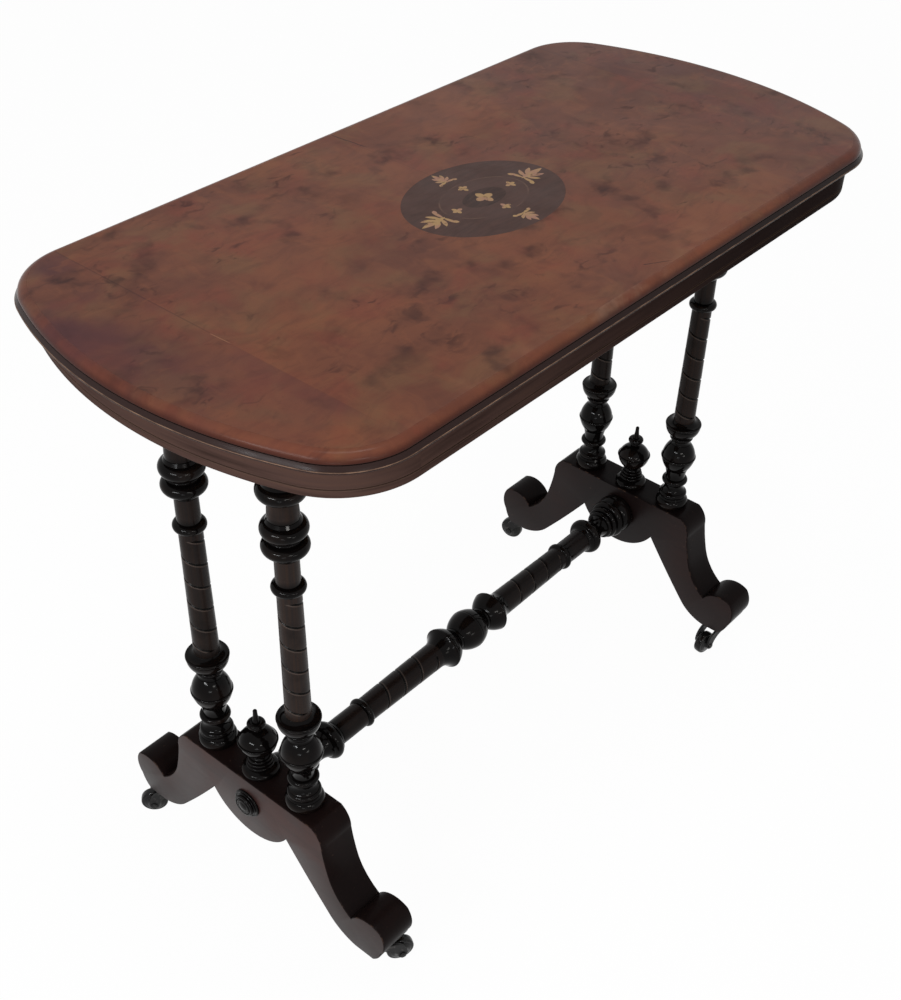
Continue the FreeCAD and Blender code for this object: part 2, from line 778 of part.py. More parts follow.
def foot_bores(end):
    """Mortises and bolt holes of the foot at one end."""
    x = end * COLUMN_X
    over = FOOT_TOP_Z + CUT_OVERRUN
    bores = []
    mortise_depth = CUT_OVERRUN + COLUMN_FOOT_TENON + TENON_END_GAP
    for _, side in directions(SIDE_NAMES):
        place = V(x, side * COLUMN_Y, over)
        bores.append(cylinder(COLUMN_TENON_RADIUS + GLUE_FIT, place, -Z_AXIS, mortise_depth))
    dowel_depth = CUT_OVERRUN + FINIAL_DOWEL_LENGTH + TENON_END_GAP
    bores.append(cylinder(FINIAL_DOWEL_RADIUS + GLUE_FIT, V(x, 0, over), -Z_AXIS, dowel_depth))
    inner = V(end * (FOOT_INNER_X - CUT_OVERRUN), 0, STRETCHER_Z)
    outer = V(end * (FOOT_OUTER_X + CUT_OVERRUN), 0, STRETCHER_Z)
    out = X_AXIS * end
    tenon_depth = CUT_OVERRUN + STRETCHER_TENON_LENGTH + TENON_END_GAP
    bores.append(cylinder(STRETCHER_TENON_RADIUS + GLUE_FIT, inner, out, tenon_depth))
    bores.append(cylinder(BOLT_RADIUS + BOLT_FIT, inner, out, FOOT_THICK + 2 * CUT_OVERRUN))
    bores.append(cylinder(BOLT_SINK_RADIUS, outer, -out, BOLT_SINK_DEPTH + CUT_OVERRUN))
    return bores


def make_feet(plate_screws):
    """Two sawn feet with their mortises and screw holes."""
    face = Part.Face(foot_outline())
    for end_name, end in directions(END_NAMES):
        foot = face.extrude(X_AXIS * FOOT_THICK)
        foot.translate(X_AXIS * (end * COLUMN_X - FOOT_THICK / 2))
        export("foot_" + end_name, foot.cut(foot_bores(end) + plate_screws[end_name]))


def make_finials():
    """Finials on their dowels, in the middle of each foot."""
    turning = Turning(-FINIAL_DOWEL_LENGTH)
    turning.pin(FINIAL_DOWEL_RADIUS, FINIAL_DOWEL_LENGTH)
    turning.stack(FINIAL_SHARES, FINIAL_HEIGHT, FINIAL_RADIUS)
    pattern = turning.solid()
    for end_name, end in directions(END_NAMES):
        finial = pattern.copy()
        finial.translate(V(end * COLUMN_X, 0, FOOT_TOP_Z))
        export("finial_" + end_name, finial)


def along_stretcher(shape):
    """Lay a shape that stands on the origin along the stretcher's axis."""
    shape.rotate(ORIGIN, Y_AXIS, QUARTER_TURN)
    shape.translate(Z_AXIS * STRETCHER_Z)
    return shape


def nut_middle(end):
    """Middle of the nut at one end of the stretcher."""
    return end * (FOOT_INNER_X - NUT_DEPTH)


def stretcher_solid():
    """Turned stretcher with its tenons, spiral grooves, bolt holes and nut pockets."""
    half = FOOT_INNER_X
    turning = Turning(-half - STRETCHER_TENON_LENGTH)
    turning.pin(STRETCHER_TENON_RADIUS, STRETCHER_TENON_LENGTH)
    turning.stack(upside_down(STRETCHER_END_SHARES), STRETCHER_END_LENGTH, STRETCHER_RADIUS)
    thin = turning.at
    turning.line(STRETCHER_RADIUS * STRETCHER_CENTRE_SHARES[-1][2], -STRETCHER_CENTRE_HALF)
    thick = turning.at
    turning.stack(upside_down(STRETCHER_CENTRE_SHARES), STRETCHER_CENTRE_HALF, STRETCHER_RADIUS)
    turning.stack(STRETCHER_CENTRE_SHARES, STRETCHER_CENTRE_HALF, STRETCHER_RADIUS)
    turning.line(thin.x, -thin.z)
    turning.stack(STRETCHER_END_SHARES, STRETCHER_END_LENGTH, STRETCHER_RADIUS)
    turning.pin(STRETCHER_TENON_RADIUS, STRETCHER_TENON_LENGTH)
    groove = spiral_groove(thick.x, thin.x, -thick.z, -thin.z)
    other = groove.copy()
    other.rotate(ORIGIN, X_AXIS, HALF_TURN)
    rail = along_stretcher(turning.solid().cut(groove).cut(other))
    cuts = []
    for _, end in directions(END_NAMES):
        start = V(end * (half + STRETCHER_TENON_LENGTH + CUT_OVERRUN), 0, STRETCHER_Z)
        depth = CUT_OVERRUN + STRETCHER_TENON_LENGTH + NUT_DEPTH + NUT_THICK / 2 + BOLT_TIP + TENON_END_GAP
        cuts.append(cylinder(BOLT_RADIUS + BOLT_FIT, start, -X_AXIS * end, depth))
        room = NUT_SIZE + 2 * NUT_FIT
        tall = STRETCHER_RADIUS + CUT_OVERRUN + room / 2
        low = STRETCHER_Z - STRETCHER_RADIUS - CUT_OVERRUN
        cuts.append(block(NUT_THICK + 2 * NUT_FIT, room, tall, nut_middle(end), 0, low))
    return rail.cut(cuts)


def make_stretcher():
    """Stretcher, bolts, nuts and roundels."""
    export("stretcher", stretcher_solid())
    bolts = []
    nuts = []
    for end_name, end in directions(END_NAMES):
        out = X_AXIS * end
        seat = V(end * (FOOT_OUTER_X - BOLT_SINK_DEPTH), 0, STRETCHER_Z)
        reach = FOOT_THICK - BOLT_SINK_DEPTH + NUT_DEPTH + NUT_THICK / 2 + BOLT_TIP
        shank = cylinder(BOLT_RADIUS, seat, -out, reach)
        bolts.append(shank.fuse(cylinder(BOLT_HEAD_RADIUS, seat, out, BOLT_HEAD_THICK)).removeSplitter())
        nut = block(NUT_THICK, NUT_SIZE, NUT_SIZE, nut_middle(end), 0, STRETCHER_Z - NUT_SIZE / 2)
        bore_start = V(nut_middle(end) - NUT_THICK, 0, STRETCHER_Z)
        nuts.append(nut.cut(cylinder(BOLT_RADIUS + RIVET_FIT, bore_start, X_AXIS, 2 * NUT_THICK)))
        export("roundel_" + end_name, roundel_solid(end))
    export("stretcher_bolts", Part.makeCompound(bolts))
    export("stretcher_nuts", Part.makeCompound(nuts))


def roundel_solid(end):
    """Turned boss on the outer face of a foot, on a spigot in the bolt's sinking."""
    turning = Turning(-ROUNDEL_SPIGOT)
    turning.pin(BOLT_SINK_RADIUS - GLUE_FIT, ROUNDEL_SPIGOT)
    turning.stack(ROUNDEL_SHARES, ROUNDEL_DEPTH, ROUNDEL_RADIUS)
    boss = turning.solid()
    boss.translate(Z_AXIS * FOOT_OUTER_X)
    return turned_about(along_stretcher(boss), 0 if end > 0 else HALF_TURN)


def horn_cheek_face():
    """Outline of a horn's cheek, from the crown to the eye round the axle."""
    span = HORN_TOP_Z - WHEEL_RADIUS
    back = -HORN_BACK_SHARE * HORN_RADIUS
    nose = HORN_NOSE_SHARE * CASTOR_TRAIL
    eye_front = V(CASTOR_TRAIL + HORN_EYE_RADIUS, 0, WHEEL_RADIUS)
    eye_low = V(CASTOR_TRAIL, 0, WHEEL_RADIUS - HORN_EYE_RADIUS)
    eye_back = V(CASTOR_TRAIL - HORN_EYE_RADIUS, 0, WHEEL_RADIUS)
    outer = V(HORN_OUTER_SHARES[0] * CASTOR_TRAIL, 0, WHEEL_RADIUS + HORN_OUTER_SHARES[1] * span)
    inner = V(HORN_INNER_SHARES[0] * CASTOR_TRAIL, 0, WHEEL_RADIUS + HORN_INNER_SHARES[1] * span)
    heel = V(back, 0, HORN_LOW_Z)
    crown_back = V(back, 0, HORN_TOP_Z)
    crown_nose = V(nose, 0, HORN_TOP_Z)
    edges = [
        Part.makeLine(heel, crown_back),
        Part.makeLine(crown_back, crown_nose),
        Part.Arc(crown_nose, outer, eye_front).toShape(),
        Part.Arc(eye_front, eye_low, eye_back).toShape(),
        Part.Arc(eye_back, inner, heel).toShape(),
    ]
    return Part.Face(Part.Wire(edges))


def horn_solid():
    """Two-cheek fork round the wheel, hung on the pintle."""
    crown = cylinder(HORN_RADIUS, V(0, 0, HORN_LOW_Z), Z_AXIS, HORN_CROWN_THICK)
    cheeks = []
    for low in (-HORN_RADIUS, CHEEK_INNER):
        cheek = horn_cheek_face().extrude(Y_AXIS * HORN_CHEEK_THICK)
        cheek.translate(Y_AXIS * low)
        cheeks.append(cheek)
    horn = fused([crown] + cheeks)
    swivel = cylinder(PINTLE_RADIUS + RUNNING_FIT, V(0, 0, HORN_LOW_Z - CUT_OVERRUN), Z_AXIS,
                      HORN_CROWN_THICK + 2 * CUT_OVERRUN)
    start = V(CASTOR_TRAIL, -HORN_RADIUS - CUT_OVERRUN, WHEEL_RADIUS)
    eye = cylinder(AXLE_RADIUS + RIVET_FIT, start, Y_AXIS, 2 * (HORN_RADIUS + CUT_OVERRUN))
    return horn.cut([swivel, eye])


def across_castor(shape):
    """Lay a shape that stands on the origin along the axle."""
    shape.rotate(ORIGIN, X_AXIS, -QUARTER_TURN)
    shape.translate(V(CASTOR_TRAIL, 0, WHEEL_RADIUS))
    return shape


def wheel_solid():
    """Wheel with a soft tread, dished faces, a hub and its bore."""
    hub_half = CHEEK_INNER - HUB_GAP
    turning = Turning(-hub_half)
    turning.line(HUB_RADIUS, -hub_half)
    turning.line(HUB_RADIUS, -WHEEL_WIDTH / 2)
    turning.stack(WHEEL_SHARES, WHEEL_WIDTH, WHEEL_RADIUS)
    turning.line(HUB_RADIUS, WHEEL_WIDTH / 2)
    turning.line(HUB_RADIUS, hub_half)
    reach = hub_half + CUT_OVERRUN
    bore = cylinder(AXLE_RADIUS + RUNNING_FIT, V(0, 0, -reach), Z_AXIS, 2 * reach)
    return across_castor(turning.solid().cut(bore))


def axle_solid():
    """Riveted pin through both cheeks."""
    turning = Turning(-HORN_RADIUS - AXLE_HEAD_THICK)
    turning.pin(AXLE_HEAD_RADIUS, AXLE_HEAD_THICK)
    turning.pin(AXLE_RADIUS, 2 * HORN_RADIUS)
    turning.pin(AXLE_HEAD_RADIUS, AXLE_HEAD_THICK)
    return across_castor(turning.solid())


def pintle_solid():
    """Swivel pin: shank in the plate and the horn, head under the horn."""
    head_top = HORN_LOW_Z - SWIVEL_GAP
    turning = Turning(head_top - PINTLE_HEAD_THICK)
    turning.pin(PINTLE_HEAD_RADIUS, PINTLE_HEAD_THICK)
    turning.pin(PINTLE_RADIUS, CASTOR_HEIGHT - head_top)
    return turning.solid()


def plate_screw_set():
    """Screws of one castor plate."""
    circle = PLATE_SCREW_CIRCLE_SHARE * PLATE_RADIUS
    screw = countersunk_screw(PLATE_SCREW_RADIUS, PLATE_SCREW_HEAD_RADIUS, PLATE_THICK, PLATE_SCREW_LENGTH,
                              V(circle, 0, PLATE_Z))
    return [turned_about(screw, place * FULL_TURN / PLATE_SCREWS) for place in range(PLATE_SCREWS)]


def make_castors():
    """Four castors, each at its own heading, and the screws that each foot has to clear."""
    screws = plate_screw_set()
    plate = cylinder(PLATE_RADIUS, V(0, 0, PLATE_Z), Z_AXIS, PLATE_THICK)
    pin_hole = cylinder(PINTLE_RADIUS + RIVET_FIT, V(0, 0, PLATE_Z - CUT_OVERRUN), Z_AXIS,
                        PLATE_THICK + 2 * CUT_OVERRUN)
    patterns = {
        "plate": plate.cut(screws + [pin_hole]),
        "pintle": pintle_solid(),
        "horn": horn_solid(),
        "axle": axle_solid(),
        "wheel": wheel_solid(),
    }
    placed_screws = {end_name: [] for end_name in END_NAMES}
    for end_name, end in directions(END_NAMES):
        for side_name, side in directions(SIDE_NAMES):
            castor_name = end_name + "_" + side_name
            heading = CASTOR_HEADINGS[castor_name]
            place = V(end * COLUMN_X, side * CASTOR_Y, 0)
            for piece_name, pattern in patterns.items():
                piece = turned_about(pattern, heading)
                piece.translate(place)
                export("castor_" + piece_name + "_" + castor_name, piece)
            for screw in screws:
                own = turned_about(screw, heading)
                own.translate(place)
                placed_screws[end_name].append(own)
    export("castor_screws", Part.makeCompound(sum(placed_screws.values(), [])))
    return placed_screws


def main():
    """Build every piece."""
    os.makedirs("parts", exist_ok=True)
    make_veneers()
    make_board()
    make_ring("edge", TOP_PLAN, edge_section)
    make_ring("apron", APRON_PLAN, apron_section)
    make_columns()
    make_finials()
    make_stretcher()
    make_feet(make_castors())


main()
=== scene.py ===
"""Dressed model of a stretcher table: veneered top, ebonised turned stand and four castors."""

import sys

import logging
import math
from collections.abc import Iterable, Sequence
from dataclasses import dataclass, field
from enum import Enum

import bmesh
import bpy
from mathutils import Matrix, Vector


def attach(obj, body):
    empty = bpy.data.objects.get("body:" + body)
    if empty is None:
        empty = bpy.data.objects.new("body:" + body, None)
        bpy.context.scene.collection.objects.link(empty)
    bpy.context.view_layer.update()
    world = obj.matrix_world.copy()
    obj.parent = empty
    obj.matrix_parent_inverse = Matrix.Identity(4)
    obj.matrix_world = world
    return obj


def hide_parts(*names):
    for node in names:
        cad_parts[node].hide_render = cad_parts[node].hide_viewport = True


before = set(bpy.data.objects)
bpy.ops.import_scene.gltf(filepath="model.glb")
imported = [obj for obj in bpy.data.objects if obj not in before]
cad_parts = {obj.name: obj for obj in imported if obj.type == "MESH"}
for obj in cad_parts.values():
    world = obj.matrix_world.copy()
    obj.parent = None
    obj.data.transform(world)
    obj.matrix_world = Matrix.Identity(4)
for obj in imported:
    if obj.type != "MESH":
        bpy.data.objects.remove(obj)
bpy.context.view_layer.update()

LOG = logging.getLogger("table")
MM = 0.001
# Distance in metres under which two points of a mesh are one
MERGE = 1e-6

Socket = bpy.types.NodeSocket
Material = bpy.types.Material
Mesh = bpy.types.Mesh
Colour = tuple[int, int, int]
# Table of a turning: its first radius, then one row for each moulding
Shares = tuple


class End(Enum):
    """Ends of the table along X."""

    NEAR = -1
    FAR = 1


class Side(Enum):
    """Long sides of the table across Y."""

    FRONT = -1
    REAR = 1


class Lie(Enum):
    """Axis that the grain of a finish runs along."""

    ALONG = 0
    ACROSS = 1
    UPRIGHT = 2

    def scale(self, along: float, *across: float) -> list[float]:
        """Scale of a pattern on X, Y and Z.

        Args:
            along: Scale along the grain.
            *across: The two scales across it.

        Returns:
            The three scales in order.
        """
        scales = list(across)
        scales.insert(self.value, along)
        return scales


def srgb(red: float, green: float, blue: float) -> tuple[float, float, float, float]:
    """Linear colour of an sRGB triple.

    Args:
        red: Red from 0 to 255.
        green: Green from 0 to 255.
        blue: Blue from 0 to 255.

    Returns:
        Linear red, green, blue and an alpha of 1.
    """
    linear = []
    for part in (red, green, blue):
        share = part / 255
        linear.append(share / 12.92 if share <= 0.04045 else ((share + 0.055) / 1.055) ** 2.4)
    return linear[0], linear[1], linear[2], 1.0


def grey(value: float) -> tuple[float, float, float, float]:
    """Linear grey."""
    return value, value, value, 1.0


class Nodes:
    """Node tree, with short ways to add and link its nodes."""

    def __init__(self, tree: bpy.types.NodeTree) -> None:
        """Clear a tree and hold it.

        Args:
            tree: Tree of a material, of the world or of a geometry group.
        """
        self.tree = tree
        tree.nodes.clear()

    def add(self, kind: str, inputs: dict | None = None, **settings: object) -> bpy.types.Node:
        """Add a node.

        Args:
            kind: Blender's name of the node type.
            inputs: Name or place of each input to feed, with its value.
            **settings: Properties of the node to set.

        Returns:
            The new node.
        """
        node = self.tree.nodes.new(kind)
        for key, value in settings.items():
            setattr(node, key, value)
        for key, value in (inputs or {}).items():
            self.feed(node.inputs[key], value)
        return node

    def feed(self, socket: Socket, value: object) -> None:
        """Link or set one input.

        Args:
            socket: Input to feed.
            value: Output socket to link, or a constant.
        """
        if isinstance(value, Socket):
            self.tree.links.new(value, socket)
        else:
            socket.default_value = value

    def math(self, kind: str, first: object, second: object = 0.0) -> Socket:
        """Operation on one or two values.

        Args:
            kind: Blender's name of the operation.
            first: Socket or number.
            second: Socket or number.

        Returns:
            The result's socket.
        """
        return self.add("ShaderNodeMath", {0: first, 1: second}, operation=kind).outputs[0]

    def plus(self, first: object, second: object) -> Socket:
        """Sum of two values."""
        return self.math("ADD", first, second)

    def minus(self, first: object, second: object) -> Socket:
        """Difference of two values."""
        return self.math("SUBTRACT", first, second)

    def times(self, first: object, second: object) -> Socket:
        """Product of two values."""
        return self.math("MULTIPLY", first, second)

    def off(self, value: object, mark: object) -> Socket:
        """How far a value is from a mark, on either side."""
        return self.math("ABSOLUTE", self.minus(value, mark))

    def parts(self, vector: Socket) -> Sequence[Socket]:
        """The three parts of a vector."""
        return self.add("ShaderNodeSeparateXYZ", {0: vector}).outputs


class Paint(Nodes):
    """Node tree of one material."""

    def __init__(self, name: str) -> None:
        """Start a material that holds one Principled shader.

        Args:
            name: Name of the material.
        """
        self.material = bpy.data.materials.new(name)
        self.material.use_nodes = True
        super().__init__(self.material.node_tree)
        self.shader = self.add("ShaderNodeBsdfPrincipled")
        self.add("ShaderNodeOutputMaterial", {0: self.shader.outputs[0]})

    def set(self, **inputs: object) -> None:
        """Feed the shader's inputs, named with underscores for spaces."""
        for key, value in inputs.items():
            self.feed(self.shader.inputs[key.replace("_", " ")], value)

    def place(self) -> Socket:
        """Place on the piece, in metres."""
        return self.add("ShaderNodeTexCoord").outputs["Object"]

    def mark(self, name: str, channel: str = "Fac") -> Socket:
        """Attribute that is stored on the mesh.

        Args:
            name: Name of the attribute.
            channel: Output of the node, "Fac" or "Vector".

        Returns:
            The attribute's socket.
        """
        return self.add("ShaderNodeAttribute", attribute_name=name).outputs[channel]

    def stretched(self, vector: Socket, scale: Sequence[float], turn: float = 0.0,
                  shift: Sequence[float] = (0, 0, 0)) -> Socket:
        """Pattern space that is scaled, and turned about Z.

        Args:
            vector: Space to start from.
            scale: Scale along X, Y and Z.
            turn: Turn about Z in degrees.
            shift: Shift before the scale.

        Returns:
            The new space.
        """
        inputs = {"Vector": vector, "Location": shift, "Rotation": (0, 0, math.radians(turn)), "Scale": scale}
        return self.add("ShaderNodeMapping", inputs).outputs[0]

    def noise(self, vector: Socket, scale: float, detail: float = 3.0, rough: float = 0.5,
              bend: float = 0.0, channel: str = "Fac") -> Socket:
        """Cloudy pattern.

        Args:
            vector: Pattern space.
            scale: Clouds to a metre of the space.
            detail: Octaves.
            rough: Strength of the finer octaves.
            bend: Distortion.
            channel: Output of the node, "Fac" or "Color".

        Returns:
            The pattern's socket.
        """
        inputs = {"Vector": vector, "Scale": scale, "Detail": detail, "Roughness": rough, "Distortion": bend}
        return self.add("ShaderNodeTexNoise", inputs).outputs[channel]

    def ramp(self, value: Socket, *stops: tuple[float, Colour]) -> Socket:
        """Colour ramp.

        Args:
            value: Socket to read.
            *stops: Place and sRGB colour of each stop, in order.

        Returns:
            The colour socket.
        """
        node = self.add("ShaderNodeValToRGB", {0: value})
        elements = node.color_ramp.elements
        while len(elements) < len(stops):
            elements.new(1.0)
        for element, (at, colour) in zip(elements, stops):
            element.position = at
            element.color = srgb(*colour)
        return node.outputs[0]

    def span(self, value: Socket, low: float, high: float, start: float = 0.0, stop: float = 1.0) -> Socket:
        """Smooth step from one value to another.

        Args:
            value: Socket to read.
            low: Where the step starts.
            high: Where the step ends.
            start: Value before the step.
            stop: Value after the step.

        Returns:
            The stepped socket.
        """
        inputs = {"Value": value, "From Min": low, "From Max": high, "To Min": start, "To Max": stop}
        return self.add("ShaderNodeMapRange", inputs, interpolation_type="SMOOTHSTEP").outputs[0]

    def sheen(self, pattern: Socket, start: float, stop: float) -> Socket:
        """Roughness that follows a cloudy pattern from its low places to its high ones."""
        return self.span(pattern, 0.3, 0.7, start, stop)

    def mix(self, share: object, under: Socket | Colour, over: Socket | Colour) -> Socket:
        """Mix of two colours.

        Args:
            share: Share of the upper colour.
            under: Lower colour, a socket or an sRGB triple.
            over: Upper colour, a socket or an sRGB triple.

        Returns:
            The mixed colour's socket.
        """
        first, second = (hue if isinstance(hue, Socket) else srgb(*hue) for hue in (under, over))
        node = self.add("ShaderNodeMix", {0: share}, data_type="RGBA", blend_type="MIX")
        self.feed(node.inputs[6], first)
        self.feed(node.inputs[7], second)
        return node.outputs[2]

    def warped(self, vector: Socket, scale: float, reach: float) -> Socket:
        """Space that is pushed about by a cloudy pattern.

        Args:
            vector: Space to start from.
            scale: Clouds to a metre.
            reach: How far the space is pushed.

        Returns:
            The new space.
        """
        clouds = self.noise(vector, scale, 2.0, channel="Color")
        inputs = {0: clouds, 1: (reach, reach, reach), 2: vector}
        return self.add("ShaderNodeVectorMath", inputs, operation="MULTIPLY_ADD").outputs[0]

    def relief(self, height: Socket, strength: float, depth: float) -> None:
        """Bump of the surface.

        Args:
            height: Height pattern.
            strength: Strength of the bump.
            depth: Depth in metres.
        """
        bump = self.add("ShaderNodeBump", {"Strength": strength, "Distance": depth, "Height": height})
        self.set(Normal=bump.outputs[0])


@dataclass(frozen=True)
class Stroke:
    """Thin straight mark on the top; its places and sizes are in metres."""

    start: tuple[float, float]
    stop: tuple[float, float]
    width: float
    wander: float
    share: float

    def mask(self, paint: Paint) -> Socket:
        """Where the mark is.

        Args:
            paint: Material in hand.

        Returns:
            The mark's share on it and 0 off it.
        """
        east, north = self.start
        turn = math.degrees(math.atan2(self.stop[1] - north, self.stop[0] - east))
        reach, half = math.dist(self.start, self.stop), self.wander / 2
        space = paint.warped(paint.place(), 160.0, self.wander) if self.wander else paint.place()
        moved = paint.stretched(space, (1, 1, 1), 0.0, (-east - half, -north - half, 0))
        along, across, _ = paint.parts(paint.stretched(moved, (1, 1, 1), -turn))
        near = paint.span(paint.math("ABSOLUTE", across), self.width * 0.4, self.width * 0.6, 1.0, 0.0)
        after = paint.span(along, 0.0, self.width * 2)
        before = paint.span(along, reach - self.width * 6, reach, 1.0, 0.0)
        return paint.times(paint.times(near, paint.times(after, before)), self.share)


@dataclass(frozen=True)
class BurrWalnut:
    """Burr walnut veneer in leaves that meet across the top, French polished and worn, with a painted sheen
    on the end leaves.
    """

    seam: float = 345 * MM
    dark: Colour = (74, 44, 37)
    middle: Colour = (96, 58, 45)
    light: Colour = (116, 71, 50)
    red: Colour = (106, 55, 44)
    olive: Colour = (102, 73, 52)
    knot: Colour = (40, 26, 27)
    plum_sheen: Colour = (68, 40, 45)
    pale: Colour = (142, 100, 76)
    crack: Stroke = Stroke((0.0, 0.204), (0.004, 0.156), 0.0013, 0.002, 0.8)
    chip: Stroke = Stroke((-0.006, -0.188), (0.022, -0.204), 0.0013, 0.002, 0.7)
    scratch: Stroke = Stroke((-0.3455, 0.004), (-0.3445, -0.022), 0.0010, 0.0, 0.55)
    gloss: float = 0.05

    def make(self) -> Material:
        """Build the material."""
        paint = Paint("burr_walnut_polish")
        place = paint.place()
        colour, spots = self.figure(paint, place)
        colour = self.wear(paint, colour, place)
        haze = paint.noise(place, 7.0, 4.0, 0.6)
        pore = paint.noise(paint.stretched(place, (1, 1, 0.2)), 1500.0, 2.0, 0.6)
        sheen = paint.plus(paint.sheen(haze, 0.30, 0.42), paint.span(spots, 0.0, 1.0, 0.0, 0.08))
        paint.set(Base_Color=colour, Roughness=sheen, Specular_IOR_Level=self.gloss)
        paint.relief(paint.times(pore, 0.3), 0.08, 0.00015)
        return paint.material

    def figure(self, paint: Paint, place: Socket) -> tuple[Socket, Socket]:
        """Colour of the veneer, which the moulded edge shares.

        Args:
            paint: Material in hand.
            place: Place on the top.

        Returns:
            The colour, and where its burrs are.
        """
        soft = paint.warped(place, 11.0, 0.05)
        tone = paint.noise(soft, 4.5, 5.0, 0.62, 0.4)
        colour = paint.ramp(tone, (0.30, self.dark), (0.50, self.middle), (0.70, self.light))
        for hue, shift in ((self.red, 2.3), (self.olive, 7.9)):
            patch = paint.noise(paint.stretched(soft, (1, 1, 1), 0.0, (shift, -shift, 0)), 19.0, 3.0, 0.55)
            colour = paint.mix(paint.span(patch, 0.48, 0.68, 0.0, 0.55), colour, hue)
        ripple = paint.noise(paint.stretched(soft, (22, 70, 20), 24.0), 1.0, 4.0, 0.6, 0.8)
        colour = paint.mix(paint.span(ripple, 0.42, 0.68, 0.0, 0.30), colour, self.dark)
        flame = paint.noise(paint.stretched(soft, (34, 16, 20), -38.0), 1.0, 3.0, 0.55, 1.2)
        colour = paint.mix(paint.span(flame, 0.50, 0.74, 0.0, 0.34), colour, self.light)
        return self.burrs(paint, self.leaves(paint, colour, place), place)

    def leaves(self, paint: Paint, colour: Socket, place: Socket) -> Socket:
        """Paint a plum sheen of reflected light on the end leaves and draw the joints, which show only in
        places.

        Args:
            paint: Material in hand.
            colour: Colour so far.
            place: Place on the top.

        Returns:
            The colour with its leaves.
        """
        east, north, _ = paint.parts(place)
        patch = paint.span(paint.noise(place, 9.0, 3.0, 0.6), 0.34, 0.66)
        # Painted sheen: the end leaves take a plum reflection, strongest on the near leaf towards the rear
        rear = paint.span(north, -0.08, 0.14, 0.35, 0.85)
        near_leaf = paint.times(paint.span(east, -self.seam - MM, -self.seam + MM, 1.0, 0.0), rear)
        far_leaf = paint.span(east, self.seam - MM, self.seam + MM, 0.0, 0.26)
        colour = paint.mix(paint.times(paint.plus(near_leaf, far_leaf), patch), colour, self.plum_sheen)
        open_joint = paint.span(north, -0.02, 0.03, 0.12, 0.85)
        for at, strength in ((-self.seam, 0.40), (0.0, 0.14), (self.seam, 0.24)):
            line = paint.span(paint.off(east, at), 0.3 * MM, 1.0 * MM, strength, 0.0)
            colour = paint.mix(paint.times(line, open_joint), colour, self.knot)
        return colour

    def burrs(self, paint: Paint, colour: Socket, place: Socket) -> tuple[Socket, Socket]:
        """Smudges, clumps of small marks and pips.

        Args:
            paint: Material in hand.
            colour: Colour so far.
            place: Place on the top.

        Returns:
            The colour with its burrs, and where they are.
        """
        broad = paint.span(paint.noise(place, 8.0, 2.0), 0.36, 0.58)
        smudge = paint.span(paint.noise(paint.warped(place, 40.0, 0.014), 26.0, 3.0, 0.52), 0.50, 0.76)
        smudge = paint.times(smudge, broad)
        colour = paint.mix(paint.times(smudge, 0.68), colour, self.knot)
        aside = paint.stretched(place, (1, 1, 1), 0.0, (3.1, 1.7, 0))
        clump = paint.span(paint.noise(aside, 13.0, 2.0), 0.43, 0.62)
        slanted = paint.stretched(paint.warped(place, 50.0, 0.014), (0.7, 1.2, 1.0), 30.0)
        swirl = paint.noise(slanted, 62.0, 2.0, 0.55, 0.7)
        marks = paint.times(paint.span(swirl, 0.55, 0.76), clump)
        colour = paint.mix(paint.times(marks, 0.60), colour, self.knot)
        glow = paint.times(paint.span(swirl, 0.42, 0.30), clump)
        colour = paint.mix(paint.times(glow, 0.26), colour, self.light)
        fleck = paint.span(paint.noise(place, 420.0, 2.0, 0.6), 0.60, 0.76, 0.0, 0.30)
        colour = paint.mix(fleck, colour, self.dark)
        return colour, paint.math("MAXIMUM", smudge, marks)

    def wear(self, paint: Paint, colour: Socket, place: Socket) -> Socket:
        """Crack, chip, scratch and rubbed places.

        Args:
            paint: Material in hand.
            colour: Colour so far.
            place: Place on the top.

        Returns:
            The worn colour.
        """
        for stroke, hue in ((self.crack, self.knot), (self.chip, self.knot), (self.scratch, self.pale)):
            colour = paint.mix(stroke.mask(paint), colour, hue)
        _, north, _ = paint.parts(place)
        rub = paint.span(paint.noise(place, 16.0, 3.0, 0.6), 0.52, 0.72)
        border = paint.span(paint.math("ABSOLUTE", north), 0.160, 0.204)
        return paint.mix(paint.times(paint.times(rub, border), 0.22), colour, self.pale)


